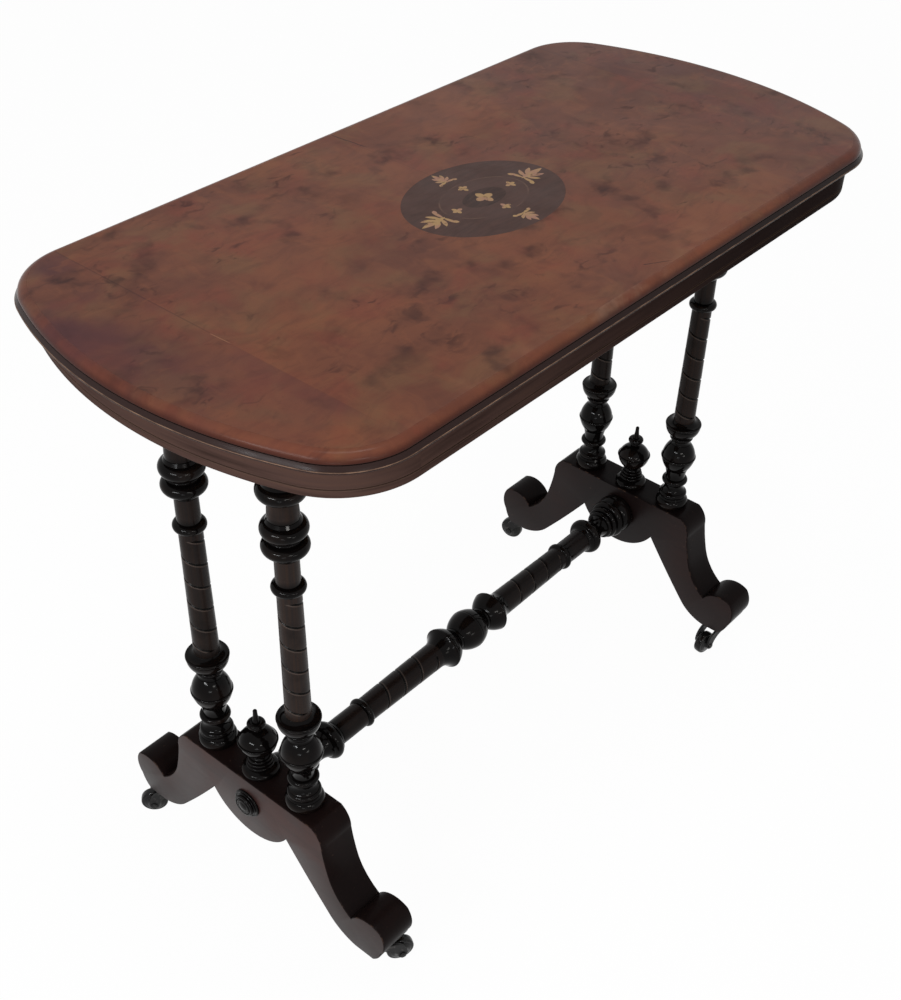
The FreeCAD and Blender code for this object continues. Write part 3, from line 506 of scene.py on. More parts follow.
@dataclass(frozen=True)
class PolishedEdge:
    """Walnut of the moulded edge: red-brown on the roll, near black under the quirk, rubbed pale on a stretch
    of the front, with painted shade where the roll turns under, in the quirk and towards the far end, and a
    painted highlight on the ridge.
    """

    roll_run: float
    ridge_highlight_run: float
    figure: BurrWalnut
    roll: Colour = (98, 53, 41)
    roll_shade: Colour = (56, 29, 24)
    under: Colour = (44, 32, 30)
    shade: Colour = (24, 15, 14)
    quirk: Colour = (8, 5, 5)
    pale: Colour = (146, 116, 96)
    rub_middle: float = -60 * MM
    rub_half: tuple[float, float] = (30 * MM, 95 * MM)
    rub_front: tuple[float, float] = (-200 * MM, -195 * MM)
    gloss: float = 0.05

    def make(self) -> Material:
        """Build the material, which reads the run of the moulding."""
        paint = Paint("moulded_edge_polish")
        run, place = paint.mark("run", "Vector"), paint.place()
        _, across, _ = paint.parts(run)
        east, north, _ = paint.parts(place)
        cloud = paint.noise(place, 24.0, 3.0, 0.55)
        colour, _ = self.figure.figure(paint, place)
        colour = paint.mix(paint.span(cloud, 0.40, 0.70, 0.15, 0.55), colour, self.roll)
        # Painted shade: the roll darkens towards the far end
        colour = paint.mix(paint.span(east, 0.05, 0.40, 0.0, 0.28), colour, self.roll_shade)
        crest = paint.span(paint.noise(place, 46.0, 4.0, 0.55), 0.36, 0.72, 0.0, 0.30)
        colour = paint.mix(paint.times(crest, self.worn_length(paint, east, north)), colour, self.pale)
        # Painted shade where the roll turns under
        turned = paint.span(across, self.roll_run - 7.5 * MM, self.roll_run - 0.5 * MM, 0.0, 0.85)
        colour = paint.mix(turned, colour, self.roll_shade)
        # Painted shade: the band under the quirk darkens towards the far end
        far = paint.span(east, -0.40, 0.25, 0.0, 0.85)
        below = paint.span(across, self.roll_run - 0.6 * MM, self.roll_run + 0.1 * MM)
        colour = paint.mix(below, colour, paint.mix(far, self.under, self.shade))
        # Painted shade: the quirk is painted near black
        groove = paint.span(paint.off(across, self.roll_run + 1.4 * MM), 0.9 * MM, 1.7 * MM, 1.0, 0.0)
        colour = paint.mix(groove, colour, self.quirk)
        # Painted highlight: a broken pale line along the ridge
        broken = paint.span(paint.noise(paint.stretched(run, (60, 200, 1)), 1.0, 3.0), 0.38, 0.62, 0.25, 0.6)
        ridge = paint.span(paint.off(across, self.ridge_highlight_run), 0.2 * MM, 0.6 * MM, 1.0, 0.0)
        colour = paint.mix(paint.times(ridge, broken), colour, self.pale)
        paint.set(Base_Color=colour, Roughness=paint.sheen(cloud, 0.20, 0.34), Specular_IOR_Level=self.gloss)
        return paint.material

    def worn_length(self, paint: Paint, east: Socket, north: Socket) -> Socket:
        """Stretch of the front edge that is rubbed pale.

        Args:
            paint: Material in hand.
            east: Place along the top.
            north: Place across the top.

        Returns:
            1 on the stretch and 0 off it.
        """
        length = paint.span(paint.off(east, self.rub_middle), *self.rub_half, 1.0, 0.0)
        return paint.times(length, paint.span(north, *self.rub_front, 1.0, 0.0))


@dataclass(frozen=True)
class FriezeWalnut:
    """Dark stained walnut of the frieze, with fine stripes along it, painted shade in the incised line and
    towards the far end, and painted highlights along the line's lips.
    """

    line_run: float
    body: Colour = (72, 54, 49)
    stripe: Colour = (50, 37, 33)
    warm: Colour = (80, 59, 51)
    shade: Colour = (21, 12, 11)
    pale: Colour = (104, 84, 70)
    gloss: float = 0.002

    def make(self) -> Material:
        """Build the material, which reads the run of the rail."""
        paint = Paint("frieze_walnut_polish")
        run = paint.mark("run", "Vector")
        _, across, _ = paint.parts(run)
        east, _, _ = paint.parts(paint.place())
        bent = paint.warped(run, 6.0, 0.004)
        grain = paint.noise(paint.stretched(bent, (10, 190, 1)), 1.0, 3.0, 0.5, 0.2)
        colour = paint.ramp(grain, (0.22, self.stripe), (0.52, self.body), (0.80, self.warm))
        # Painted shade: the frieze darkens towards the far end
        colour = paint.mix(paint.span(east, -0.46, 0.22, 0.0, 0.92), colour, self.shade)
        edge = paint.off(across, self.line_run)
        # Painted shade in the incised line
        dust_and_line_shade = paint.span(edge, 0.5 * MM, 1.1 * MM, 0.8, 0.0)
        colour = paint.mix(dust_and_line_shade, colour, self.stripe)
        # Painted highlights along both lips of the incised line
        lip = paint.span(paint.off(edge, 1.4 * MM), 0.15 * MM, 0.55 * MM, 0.30, 0.0)
        colour = paint.mix(lip, colour, self.pale)
        cloud = paint.noise(paint.place(), 18.0, 3.0, 0.6)
        paint.set(Base_Color=colour, Roughness=paint.sheen(cloud, 0.26, 0.42), Specular_IOR_Level=self.gloss)
        paint.relief(grain, 0.08, 0.0002)
        return paint.material


@dataclass(frozen=True)
class Softwood:
    """Pine that was never polished, browned by age."""

    lie: Lie
    early: Colour = (164, 122, 82)
    late: Colour = (116, 78, 48)
    grime: Colour = (74, 54, 40)
    gloss: float = 0.22

    def make(self) -> Material:
        """Build the material."""
        paint = Paint("aged_pine_" + self.lie.name.lower())
        scale = self.lie.scale(3, 110, 90)
        place = paint.warped(paint.place(), 5.0, 0.010)
        rings = paint.noise(paint.stretched(place, scale), 1.0, 4.0, 0.55, 0.2)
        colour = paint.ramp(rings, (0.38, self.early), (0.56, self.early), (0.66, self.late))
        stain = paint.noise(place, 14.0, 4.0, 0.62)
        colour = paint.mix(paint.span(stain, 0.48, 0.74, 0.05, 0.6), colour, self.grime)
        saw = paint.noise(paint.stretched(place, [3 * part for part in reversed(scale)]), 1.0, 2.0)
        paint.set(Base_Color=colour, Roughness=paint.sheen(rings, 0.78, 0.62), Specular_IOR_Level=self.gloss)
        paint.relief(paint.plus(rings, paint.times(saw, 0.5)), 0.25, 0.0004)
        return paint.material


@dataclass(frozen=True)
class MedallionVeneer:
    """Dark stained veneer of the medallion, with a faint ring round the heart."""

    name: str
    body: Colour
    streak: Colour
    ring: tuple[float, float] | None = None
    ringed_ground: Colour = (78, 56, 50)
    pale: Colour = (112, 88, 74)
    gloss: float = 0.05

    def make(self) -> Material:
        """Build the material."""
        paint = Paint(self.name)
        place = paint.place()
        bent = paint.warped(place, 14.0, 0.02)
        grain = paint.noise(paint.stretched(bent, (40, 260, 40), 12.0), 1.0, 4.0, 0.6, 0.3)
        colour = paint.ramp(grain, (0.32, self.streak), (0.62, self.body))
        cloud = paint.noise(place, 34.0, 3.0, 0.6)
        colour = paint.mix(paint.span(cloud, 0.45, 0.75, 0.0, 0.4), colour, self.streak)
        if self.ring:
            colour = self.ringed(paint, colour, place, cloud)
        paint.set(Base_Color=colour, Roughness=paint.sheen(cloud, 0.30, 0.44), Specular_IOR_Level=self.gloss)
        paint.relief(grain, 0.05, 0.00015)
        return paint.material

    def ringed(self, paint: Paint, colour: Socket, place: Socket, cloud: Socket) -> Socket:
        """Draw the thin oval line and the lighter ground inside it.

        Args:
            paint: Material in hand.
            colour: Colour so far.
            place: Place on the top.
            cloud: Pattern that breaks the line.

        Returns:
            The ringed colour.
        """
        length, width = self.ring
        flat = paint.stretched(place, (2 / length, 2 / width, 0))
        reach = paint.add("ShaderNodeVectorMath", {0: flat}, operation="LENGTH").outputs["Value"]
        line = paint.span(paint.off(reach, 1.0), 0.008, 0.026, 0.36, 0.0)
        line = paint.times(line, paint.span(cloud, 0.42, 0.62))
        inside = paint.span(reach, 0.98, 1.0, 0.22, 0.0)
        return paint.mix(line, paint.mix(inside, colour, self.ringed_ground), self.pale)


@dataclass(frozen=True)
class Boxwood:
    """Pale inlay, pinkish in places, with the browned shading of hot sand."""

    pale: Colour = (150, 122, 84)
    pink: Colour = (142, 106, 90)
    scorch: Colour = (82, 54, 42)
    gloss: float = 0.05

    def make(self) -> Material:
        """Build the material."""
        paint = Paint("boxwood_inlay")
        place = paint.place()
        cloud = paint.noise(place, 60.0, 3.0, 0.6)
        colour = paint.mix(paint.span(cloud, 0.4, 0.66), self.pale, self.pink)
        fibre = paint.noise(paint.stretched(place, (180, 900, 100)), 1.0, 3.0, 0.6)
        colour = paint.mix(paint.span(fibre, 0.45, 0.75, 0.0, 0.35), colour, self.pink)
        shade = paint.span(paint.noise(place, 210.0, 2.0, 0.5), 0.56, 0.76, 0.0, 0.75)
        colour = paint.mix(shade, colour, self.scorch)
        paint.set(Base_Color=colour, Roughness=paint.sheen(fibre, 0.30, 0.42), Specular_IOR_Level=self.gloss)
        paint.relief(fibre, 0.06, 0.0001)
        return paint.material


@dataclass(frozen=True)
class EbonisedTurning:
    """Black polish over turned beech: glossy beads, browner satin shafts dimmed by painted shade towards the
    far end and the rear, rubbed crests, painted shade in the spiral groove and a painted highlight on its
    lower lip.
    """

    lie: Lie
    black: Colour = (8, 6, 6)
    shaft: Colour = (38, 31, 29)
    worn: Colour = (48, 35, 29)
    lip: Colour = (122, 106, 98)
    groove_shade: Colour = (3, 2, 2)
    gloss: float = 0.07

    def make(self) -> Material:
        """Build the material, which reads where the shaft, the groove and the crests are."""
        paint = Paint("ebonised_turning_" + self.lie.name.lower())
        place = paint.place()
        grain = paint.noise(paint.stretched(place, self.lie.scale(9, 420, 420)), 1.0, 4.0, 0.62, 0.2)
        cloud = paint.noise(place, 32.0, 3.0, 0.6)
        shaft = paint.mark("shaft")
        brown = paint.mix(paint.span(grain, 0.35, 0.7), self.shaft, self.worn)
        brown = paint.mix(paint.span(cloud, 0.45, 0.72, 0.0, 0.5), brown, self.black)
        east, north, _ = paint.parts(place)
        # Painted shade: the shafts' brown dims towards the far end and the rear columns
        lit = paint.times(paint.span(east, -0.30, 0.25, 0.8, 0.5),
                          paint.span(north, -40 * MM, 40 * MM, 1.0, 0.62))
        colour = paint.mix(paint.times(shaft, lit), self.black, brown)
        rubbed = paint.times(paint.mark("crest"), paint.span(cloud, 0.42, 0.66, 0.0, 0.2))
        colour = paint.mix(rubbed, colour, self.worn)
        # Painted highlight on the groove's lower lip
        colour = paint.mix(paint.times(paint.mark("lip"), 0.34), colour, self.lip)
        # Painted shade in the spiral groove
        colour = paint.mix(paint.span(paint.mark("groove"), 0.0, 0.45, 0.0, 0.97), colour, self.groove_shade)
        sheen = paint.plus(paint.sheen(cloud, 0.06, 0.16), paint.times(shaft, 0.20))
        paint.set(Base_Color=colour, Roughness=sheen, Specular_IOR_Level=self.gloss)
        paint.relief(paint.times(grain, 0.4), 0.05, 0.0002)
        return paint.material


@dataclass(frozen=True)
class EbonisedPlank:
    """Black polish over the sawn feet, thin enough on their faces to show red-brown wood, with painted shade
    on the sawn rim and on the far foot.
    """

    face: Colour = (46, 31, 29)
    red: Colour = (56, 33, 29)
    black: Colour = (14, 10, 10)
    shade: Colour = (24, 12, 11)
    low: Colour = (32, 29, 29)
    pale: Colour = (96, 74, 62)
    face_gloss: float = 0.14
    rim_gloss: float = 0.03

    def make(self) -> Material:
        """Build the material, which reads where the sawn rim is."""
        paint = Paint("ebonised_plank")
        place = paint.place()
        bent = paint.warped(place, 7.0, 0.01)
        grain = paint.noise(paint.stretched(bent, (120, 7, 150)), 1.0, 5.0, 0.6, 0.3)
        cloud = paint.noise(place, 12.0, 4.0, 0.6)
        face = paint.mix(paint.span(cloud, 0.40, 0.66), self.face, self.red)
        face = paint.mix(paint.span(grain, 0.42, 0.72, 0.0, 0.30), face, self.black)
        east, north, height = paint.parts(place)
        face = paint.mix(paint.span(height, 50 * MM, 130 * MM, 0.7, 0.0), face, self.low)
        # Painted shade: the faces darken towards the far foot
        far = paint.span(east, -0.25, 0.30)
        face = paint.mix(paint.times(far, 0.75), face, self.shade)
        # Painted shade: near black in the middle of the far foot
        middle = paint.span(paint.math("ABSOLUTE", north), 25 * MM, 120 * MM, 0.7, 0.0)
        face = paint.mix(paint.times(far, middle), face, self.black)
        # Painted shade: the sawn rim is painted near black
        rim = paint.mark("rim")
        colour = paint.mix(paint.times(rim, 0.86), face, self.black)
        arris = paint.span(paint.noise(place, 90.0, 3.0, 0.6), 0.50, 0.70, 0.0, 0.6)
        colour = paint.mix(paint.times(paint.mark("arris"), arris), colour, self.pale)
        knock = paint.span(paint.noise(place, 260.0, 2.0, 0.6), 0.70, 0.80, 0.0, 0.35)
        colour = paint.mix(knock, colour, self.pale)
        paint.set(Base_Color=colour, Roughness=paint.sheen(cloud, 0.28, 0.42),
                  Specular_IOR_Level=paint.span(rim, 0.0, 1.0, self.face_gloss, self.rim_gloss))
        paint.relief(paint.times(grain, 0.5), 0.08, 0.0003)
        return paint.material


@dataclass(frozen=True)
class Metal:
    """Plain metal with tarnish in patches and fine scratches."""

    name: str
    bright: Colour
    tarnish: Colour
    polish: float
    cover: float

    def make(self) -> Material:
        """Build the material."""
        paint = Paint(self.name)
        place = paint.place()
        patch = paint.span(paint.noise(place, 180.0, 4.0, 0.65), self.cover, self.cover + 0.16)
        colour = paint.mix(patch, self.tarnish, self.bright)
        scratch = paint.noise(paint.stretched(place, (300, 2600, 500), 35.0), 1.0, 2.0, 0.5)
        rough = paint.plus(paint.span(patch, 0.0, 1.0, self.polish + 0.25, self.polish),
                           paint.times(scratch, 0.10))
        paint.set(Base_Color=colour, Roughness=rough, Metallic=paint.span(patch, 0.0, 1.0, 0.55, 1.0))
        paint.relief(paint.plus(patch, paint.times(scratch, 0.3)), 0.12, 0.0001)
        return paint.material


@dataclass(frozen=True)
class WheelBlack:
    """Dark fired wheel of a castor, dusty in patches and rubbed between them."""

    body: Colour = (14, 13, 13)
    dust: Colour = (42, 39, 37)
    gloss: float = 0.17

    def make(self) -> Material:
        """Build the material."""
        paint = Paint("castor_wheel_black")
        dust_and_line_shade = paint.span(paint.noise(paint.place(), 240.0, 4.0, 0.65), 0.48, 0.72, 0.0, 0.5)
        colour = paint.mix(dust_and_line_shade, self.body, self.dust)
        sheen = paint.span(dust_and_line_shade, 0.0, 0.5, 0.12, 0.40)
        paint.set(Base_Color=colour, Roughness=sheen, Specular_IOR_Level=self.gloss)
        paint.relief(dust_and_line_shade, 0.45, 0.0002)
        return paint.material


class Tree(Nodes):
    """Geometry node tree that makes a mesh from named inputs."""

    def __init__(self, name: str, inputs: dict[str, str]) -> None:
        """Start a tree with named inputs.

        Args:
            name: Name of the tree.
            inputs: Name and socket type of each input.
        """
        super().__init__(bpy.data.node_groups.new(name, "GeometryNodeTree"))
        face = self.tree.interface
        face.new_socket(name="Geometry", in_out="INPUT", socket_type="NodeSocketGeometry")
        face.new_socket(name="Geometry", in_out="OUTPUT", socket_type="NodeSocketGeometry")
        self.keys: dict[str, str] = {}
        for title, kind in inputs.items():
            self.keys[title] = face.new_socket(name=title, in_out="INPUT", socket_type=kind).identifier
        self.source = self.add("NodeGroupInput")
        self.sink = self.add("NodeGroupOutput")

    def input(self, title: str) -> Socket:
        """Socket of a named input."""
        return self.source.outputs[title]

    def combine(self, *parts: object) -> Socket:
        """Vector of three parts."""
        return self.add("ShaderNodeCombineXYZ", dict(enumerate(parts))).outputs[0]

    def vector_sum(self, first: Socket, second: Socket) -> Socket:
        """Sum of two vectors."""
        return self.add("ShaderNodeVectorMath", {0: first, 1: second}, operation="ADD").outputs[0]

    def pattern(self, title: str) -> Socket:
        """Geometry of the object that a named input holds."""
        held = {"Object": self.input(title)}
        return self.add("GeometryNodeObjectInfo", held, transform_space="ORIGINAL").outputs["Geometry"]

    def position(self) -> Socket:
        """Place of the point in hand."""
        return self.add("GeometryNodeInputPosition").outputs[0]

    def named(self, name: str, kind: str) -> Socket:
        """Stored attribute of the geometry in hand."""
        node = self.add("GeometryNodeInputNamedAttribute", {"Name": name}, data_type=kind)
        return node.outputs["Attribute"]

    def read(self, geometry: Socket, value: Socket, index: Socket, kind: str) -> Socket:
        """Value at one point of another geometry.

        Args:
            geometry: Geometry to read.
            value: Field to read there.
            index: Which point.
            kind: Blender's name of the data type.

        Returns:
            The value's socket.
        """
        inputs = {"Geometry": geometry, "Value": value, "Index": index}
        return self.add("GeometryNodeSampleIndex", inputs, data_type=kind, domain="POINT").outputs["Value"]

    def keep(self, geometry: Socket, name: str, value: Socket, kind: str) -> Socket:
        """Store a field on the points.

        Args:
            geometry: Geometry to store on.
            name: Name of the attribute.
            value: Field to store.
            kind: Blender's name of the data type.

        Returns:
            The geometry with its attribute.
        """
        inputs = {"Geometry": geometry, "Name": name, "Value": value}
        node = self.add("GeometryNodeStoreNamedAttribute", inputs, data_type=kind, domain="POINT")
        return node.outputs["Geometry"]

    def grid(self, rows: Socket, columns: Socket) -> tuple[Socket, Socket, Socket]:
        """Grid of points that is moved into shape later.

        Args:
            rows: Number of rows.
            columns: Number of points in a row.

        Returns:
            The grid, and the row and the column of each point.
        """
        grid = self.add("GeometryNodeMeshGrid", {"Vertices X": rows, "Vertices Y": columns})
        index = self.add("GeometryNodeInputIndex").outputs[0]
        row = self.math("FLOOR", self.math("DIVIDE", self.plus(index, 0.25), columns))
        return grid.outputs["Mesh"], row, self.minus(index, self.times(row, columns))

    def shape(self, geometry: Socket, places: Socket) -> None:
        """Move the points to their places and end the tree."""
        move = self.add("GeometryNodeSetPosition", {"Geometry": geometry, "Position": places})
        self.finish(move.outputs["Geometry"])

    def finish(self, geometry: Socket) -> None:
        """End the tree in real geometry that has its finish."""
        real = self.add("GeometryNodeRealizeInstances", {"Geometry": geometry}).outputs["Geometry"]
        dress = self.add("GeometryNodeSetMaterial", {"Geometry": real, "Material": self.input("Finish")})
        self.feed(self.sink.inputs[0], dress.outputs["Geometry"])

    def mesh(self, **values: object) -> Mesh:
        """Run the tree once and return its result as a plain mesh.

        Args:
            **values: Value of each named input, with underscores for spaces.

        Returns:
            The new mesh.
        """
        carrier = put("carrier", bpy.data.meshes.new("carrier"))
        modifier = carrier.modifiers.new("tree", "NODES")
        modifier.node_group = self.tree
        for key, value in values.items():
            modifier[self.keys[key.replace("_", " ")]] = value
        bpy.context.view_layer.update()
        evaluated = carrier.evaluated_get(bpy.context.evaluated_depsgraph_get())
        result = bpy.data.meshes.new_from_object(evaluated)
        discard(carrier)
        return result


def put(name: str, data: bpy.types.ID) -> bpy.types.Object:
    """New object, linked to the scene.

    Args:
        name: Name of the object.
        data: Its mesh, lamp or camera.

    Returns:
        The object.
    """
    thing = bpy.data.objects.new(name, data)
    bpy.context.scene.collection.objects.link(thing)
    return thing


def pattern_object(name: str, points: Sequence[Sequence[float]], **marks: Sequence) -> bpy.types.Object:
    """Row of points that a tree reads.

    Args:
        name: Name of the object.
        points: Places of the points.
        **marks: Values to store on the points: numbers or vectors.

    Returns:
        The object, which the caller removes after use.
    """
    mesh = bpy.data.meshes.new(name)
    mesh.from_pydata([tuple(point) for point in points], [], [])
    for key, values in marks.items():
        vectors = isinstance(values[0], Vector)
        layer = mesh.attributes.new(key, "FLOAT_VECTOR" if vectors else "FLOAT", "POINT")
        flat = [part for value in values for part in value] if vectors else list(values)
        layer.data.foreach_set("vector" if vectors else "value", flat)
    return put(name, mesh)


def discard(*things: bpy.types.Object) -> None:
    """Remove helper objects and their meshes."""
    for thing in things:
        mesh = thing.data
        bpy.data.objects.remove(thing)
        bpy.data.meshes.remove(mesh)


def sealed(mesh: Mesh) -> Mesh:
    """Close a mesh: merge its seam, cap its open ends and turn its faces outwards.

    Args:
        mesh: Mesh to close.

    Returns:
        The same mesh.
    """
    work = bmesh.new()
    work.from_mesh(mesh)
    bmesh.ops.remove_doubles(work, verts=work.verts, dist=2 * MERGE)
    bmesh.ops.dissolve_degenerate(work, edges=work.edges, dist=MERGE / 2)
    rims = [edge for edge in work.edges if edge.is_boundary]
    if rims:
        bmesh.ops.holes_fill(work, edges=rims, sides=0)
    bmesh.ops.recalc_face_normals(work, faces=work.faces)
    work.to_mesh(mesh)
    work.free()
    return mesh


def bands(work: bmesh.types.BMesh, rings: list[list[bmesh.types.BMVert]]) -> None:
    """Close the space between each ring of points and the next with faces.

    Args:
        work: Mesh in hand.
        rings: Rings with the same number of points.
    """
    for low, high in zip(rings, rings[1:]):
        for place in range(len(low)):
            after = (place + 1) % len(low)
            work.faces.new((low[place], low[after], high[after], high[place]))


def piece(name: str, mesh: Mesh, body: str, nodes: Iterable[str], degrees: float = 32.0) -> None:
    """Put a finished mesh in the scene in place of CAD nodes.

    Args:
        name: Name of the piece.
        mesh: Its mesh, in place.
        body: Body that it rides on.
        nodes: Nodes that it stands for.
        degrees: Angle over which its edges are sharp.
    """
    mesh.name = name
    mesh.shade_smooth()
    mesh.set_sharp_from_angle(angle=math.radians(degrees))
    thing = put(name, mesh)
    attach(thing, body)
    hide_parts(*nodes)
    LOG.info("piece %s on %s: %d faces", name, body, len(mesh.polygons))


def dress_node(node: str, material: Material) -> None:
    """Give a CAD node its finish."""
    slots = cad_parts[node].data.materials
    slots.clear()
    slots.append(material)
    LOG.info("node %s: %s", node, material.name)


def smooth_copy(node: str, body: str, material: Material) -> None:
    """Stand a merged, smoothly shaded copy in for a CAD node.

    Args:
        node: Name of the node.
        body: Body that it rides on.
        material: Its finish.
    """
    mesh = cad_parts[node].data.copy()
    work = bmesh.new()
    work.from_mesh(mesh)
    bmesh.ops.remove_doubles(work, verts=work.verts, dist=MERGE)
    work.to_mesh(mesh)
    work.free()
    mesh.normals_split_custom_set([(0, 0, 0)] * len(mesh.loops))
    mesh.materials.clear()
    mesh.materials.append(material)
    piece(node + "_dressed", mesh, body, [node], 30.0)


def placed(mesh: Mesh, matrix: Matrix) -> Mesh:
    """Copy of a mesh, moved to its place."""
    copy = mesh.copy()
    copy.transform(matrix)
    return copy


def stand_turned(node: str, mesh: Mesh, matrix: Matrix) -> None:
    """Stand a copy of a turned mesh in for its node."""
    piece(node + "_turned", placed(mesh, matrix), "table", [node])


def arc(start: Vector, middle: Vector, stop: Vector, steps: int) -> list[Vector]:
    """Points of an arc through three points, without its start.

    Args:
        start: First point.
        middle: Point on the way.
        stop: Last point.
        steps: Number of steps.

    Returns:
        The points, each in two dimensions.
    """
    first, second = middle - start, stop - start
    cross = 2 * (first.x * second.y - first.y * second.x)
    if abs(cross) < 1e-14:
        return [start.lerp(stop, step / steps) for step in range(1, steps + 1)]
    one, two = first.length_squared, second.length_squared
    centre = start + Vector((second.y * one - first.y * two, first.x * two - second.x * one)) / cross
    radius = (start - centre).length
    angles = [math.atan2(point.y - centre.y, point.x - centre.x) for point in (start, middle, stop)]
    turn = 1 if cross > 0 else -1
    sweep = (turn * (angles[2] - angles[0])) % (2 * math.pi)
    points = []
    for step in range(1, steps + 1):
        angle = angles[0] + turn * sweep * step / steps
        points.append(centre + Vector((math.cos(angle), math.sin(angle))) * radius)
    points[-1] = stop.copy()
    return points


@dataclass(frozen=True)
class Plan:
    """Rounded oblong: straight sides, bowed ends and tangent corners."""

    half_length: float
    half_width: float
    bow: float
    corner: float
    corner_steps: int = 28
    bow_steps: int = 44

    @property
    def end_radius(self) -> float:
        """Radius of the bowed end."""
        return (self.half_width ** 2 + self.bow ** 2) / (2 * self.bow)

    @property
    def end_centre(self) -> float:
        """Distance along X from the middle to the bowed end's centre."""
        return self.half_length - self.end_radius

    @property
    def corner_y(self) -> float:
        """Distance along Y from the middle to the corner's centre."""
        return self.half_width - self.corner

    @property
    def corner_x(self) -> float:
        """Distance along X from the middle to the corner's centre."""
        return self.end_centre + math.sqrt((self.end_radius - self.corner) ** 2 - self.corner_y ** 2)

    def side_path(self, steps: int = 40) -> tuple[list[Vector], list[Vector]]:
        """Points and outward directions along the front."""
        reaches = (self.corner_x * (2 * step / steps - 1) for step in range(steps + 1))
        points = [Vector((reach, -self.half_width, 0)) for reach in reaches]
        return points, [Vector((0, -1, 0))] * (steps + 1)

    def end_path(self) -> tuple[list[Vector], list[Vector]]:
        """Points and outward directions round the far end, from front to rear."""
        half = math.atan2(self.corner_y, self.corner_x - self.end_centre)
        runs = (
            (Vector((self.corner_x, -self.corner_y, 0)), self.corner, -math.pi / 2, -half, self.corner_steps),
            (Vector((self.end_centre, 0, 0)), self.end_radius, -half, half, self.bow_steps),
            (Vector((self.corner_x, self.corner_y, 0)), self.corner, half, math.pi / 2, self.corner_steps),
        )
        points, outward = [], []
        for centre, radius, start, stop, steps in runs:
            for step in range(1 if points else 0, steps + 1):
                angle = start + (stop - start) * step / steps
                way = Vector((math.cos(angle), math.sin(angle), 0))
                points.append(centre + way * radius)
                outward.append(way)
        return points, outward


class Section:
    """Closed section of a moulding: how far in from the outline, and height."""

    def __init__(self, inset: float, height: float) -> None:
        """Start the section at a point.

        Args:
            inset: Distance in from the outline.
            height: Height of the point.
        """
        self.points = [Vector((inset, height))]

    def line(self, inset: float, height: float) -> "Section":
        """Straight run to a point."""
        self.points.append(Vector((inset, height)))
        return self

    def curve(self, middle: tuple[float, float], stop: tuple[float, float], steps: int) -> "Section":
        """Arc through a point to a point."""
        self.points += arc(self.points[-1], Vector(middle), Vector(stop), steps)
        return self

    @property
    def run(self) -> list[float]:
        """Distance round the section at each point."""
        lengths = [0.0]
        for first, second in zip(self.points, self.points[1:]):
            lengths.append(lengths[-1] + (second - first).length)
        return lengths


class MouldingTree:
    """Tree that carries a section along a path."""

    def __init__(self) -> None:
        """Build the tree."""
        tree = Tree("Moulding", {
            "Path": "NodeSocketObject", "Section": "NodeSocketObject", "Path Points": "NodeSocketInt",
            "Section Points": "NodeSocketInt", "Finish": "NodeSocketMaterial",
        })
        self.tree = tree
        path, section = tree.pattern("Path"), tree.pattern("Section")
        grid, row, column = tree.grid(tree.input("Path Points"), tree.input("Section Points"))
        place = tree.position()
        at = tree.read(path, place, row, "FLOAT_VECTOR")
        out = tree.read(path, tree.named("outward", "FLOAT_VECTOR"), row, "FLOAT_VECTOR")
        inset, _, height = tree.parts(tree.read(section, place, column, "FLOAT_VECTOR"))
        inwards = {0: out, "Scale": tree.times(inset, -1.0)}
        shift = tree.add("ShaderNodeVectorMath", inwards, operation="SCALE").outputs[0]
        spot = tree.vector_sum(tree.vector_sum(at, shift), tree.combine(0.0, 0.0, height))
        run = tree.combine(tree.read(path, tree.named("along", "FLOAT"), row, "FLOAT"),
                           tree.read(section, tree.named("across", "FLOAT"), column, "FLOAT"), 0.0)
        tree.shape(tree.keep(grid, "run", run, "FLOAT_VECTOR"), spot)

    def mesh(self, path: tuple[list[Vector], list[Vector]], section: Section, turn: float, start: float,
             material: Material) -> Mesh:
        """One length of moulding.

        Args:
            path: Points and outward directions.
            section: Section to carry.
            turn: Turn about the vertical, in degrees.
            start: Where its grain starts along the moulding.
            material: Its finish.

        Returns:
            The mesh, in place.
        """
        spin = Matrix.Rotation(math.radians(turn), 3, "Z")
        points = [spin @ point for point in path[0]]
        along = [start]
        for first, second in zip(points, points[1:]):
            along.append(along[-1] + (second - first).length)
        way = pattern_object("way", points, outward=[spin @ out for out in path[1]], along=along)
        flat = [(point.x, 0, point.y) for point in section.points]
        shape = pattern_object("shape", flat, across=section.run)
        mesh = self.tree.mesh(Path=way, Section=shape, Path_Points=len(points), Section_Points=len(flat),
                              Finish=material)
        discard(way, shape)
        return sealed(mesh)


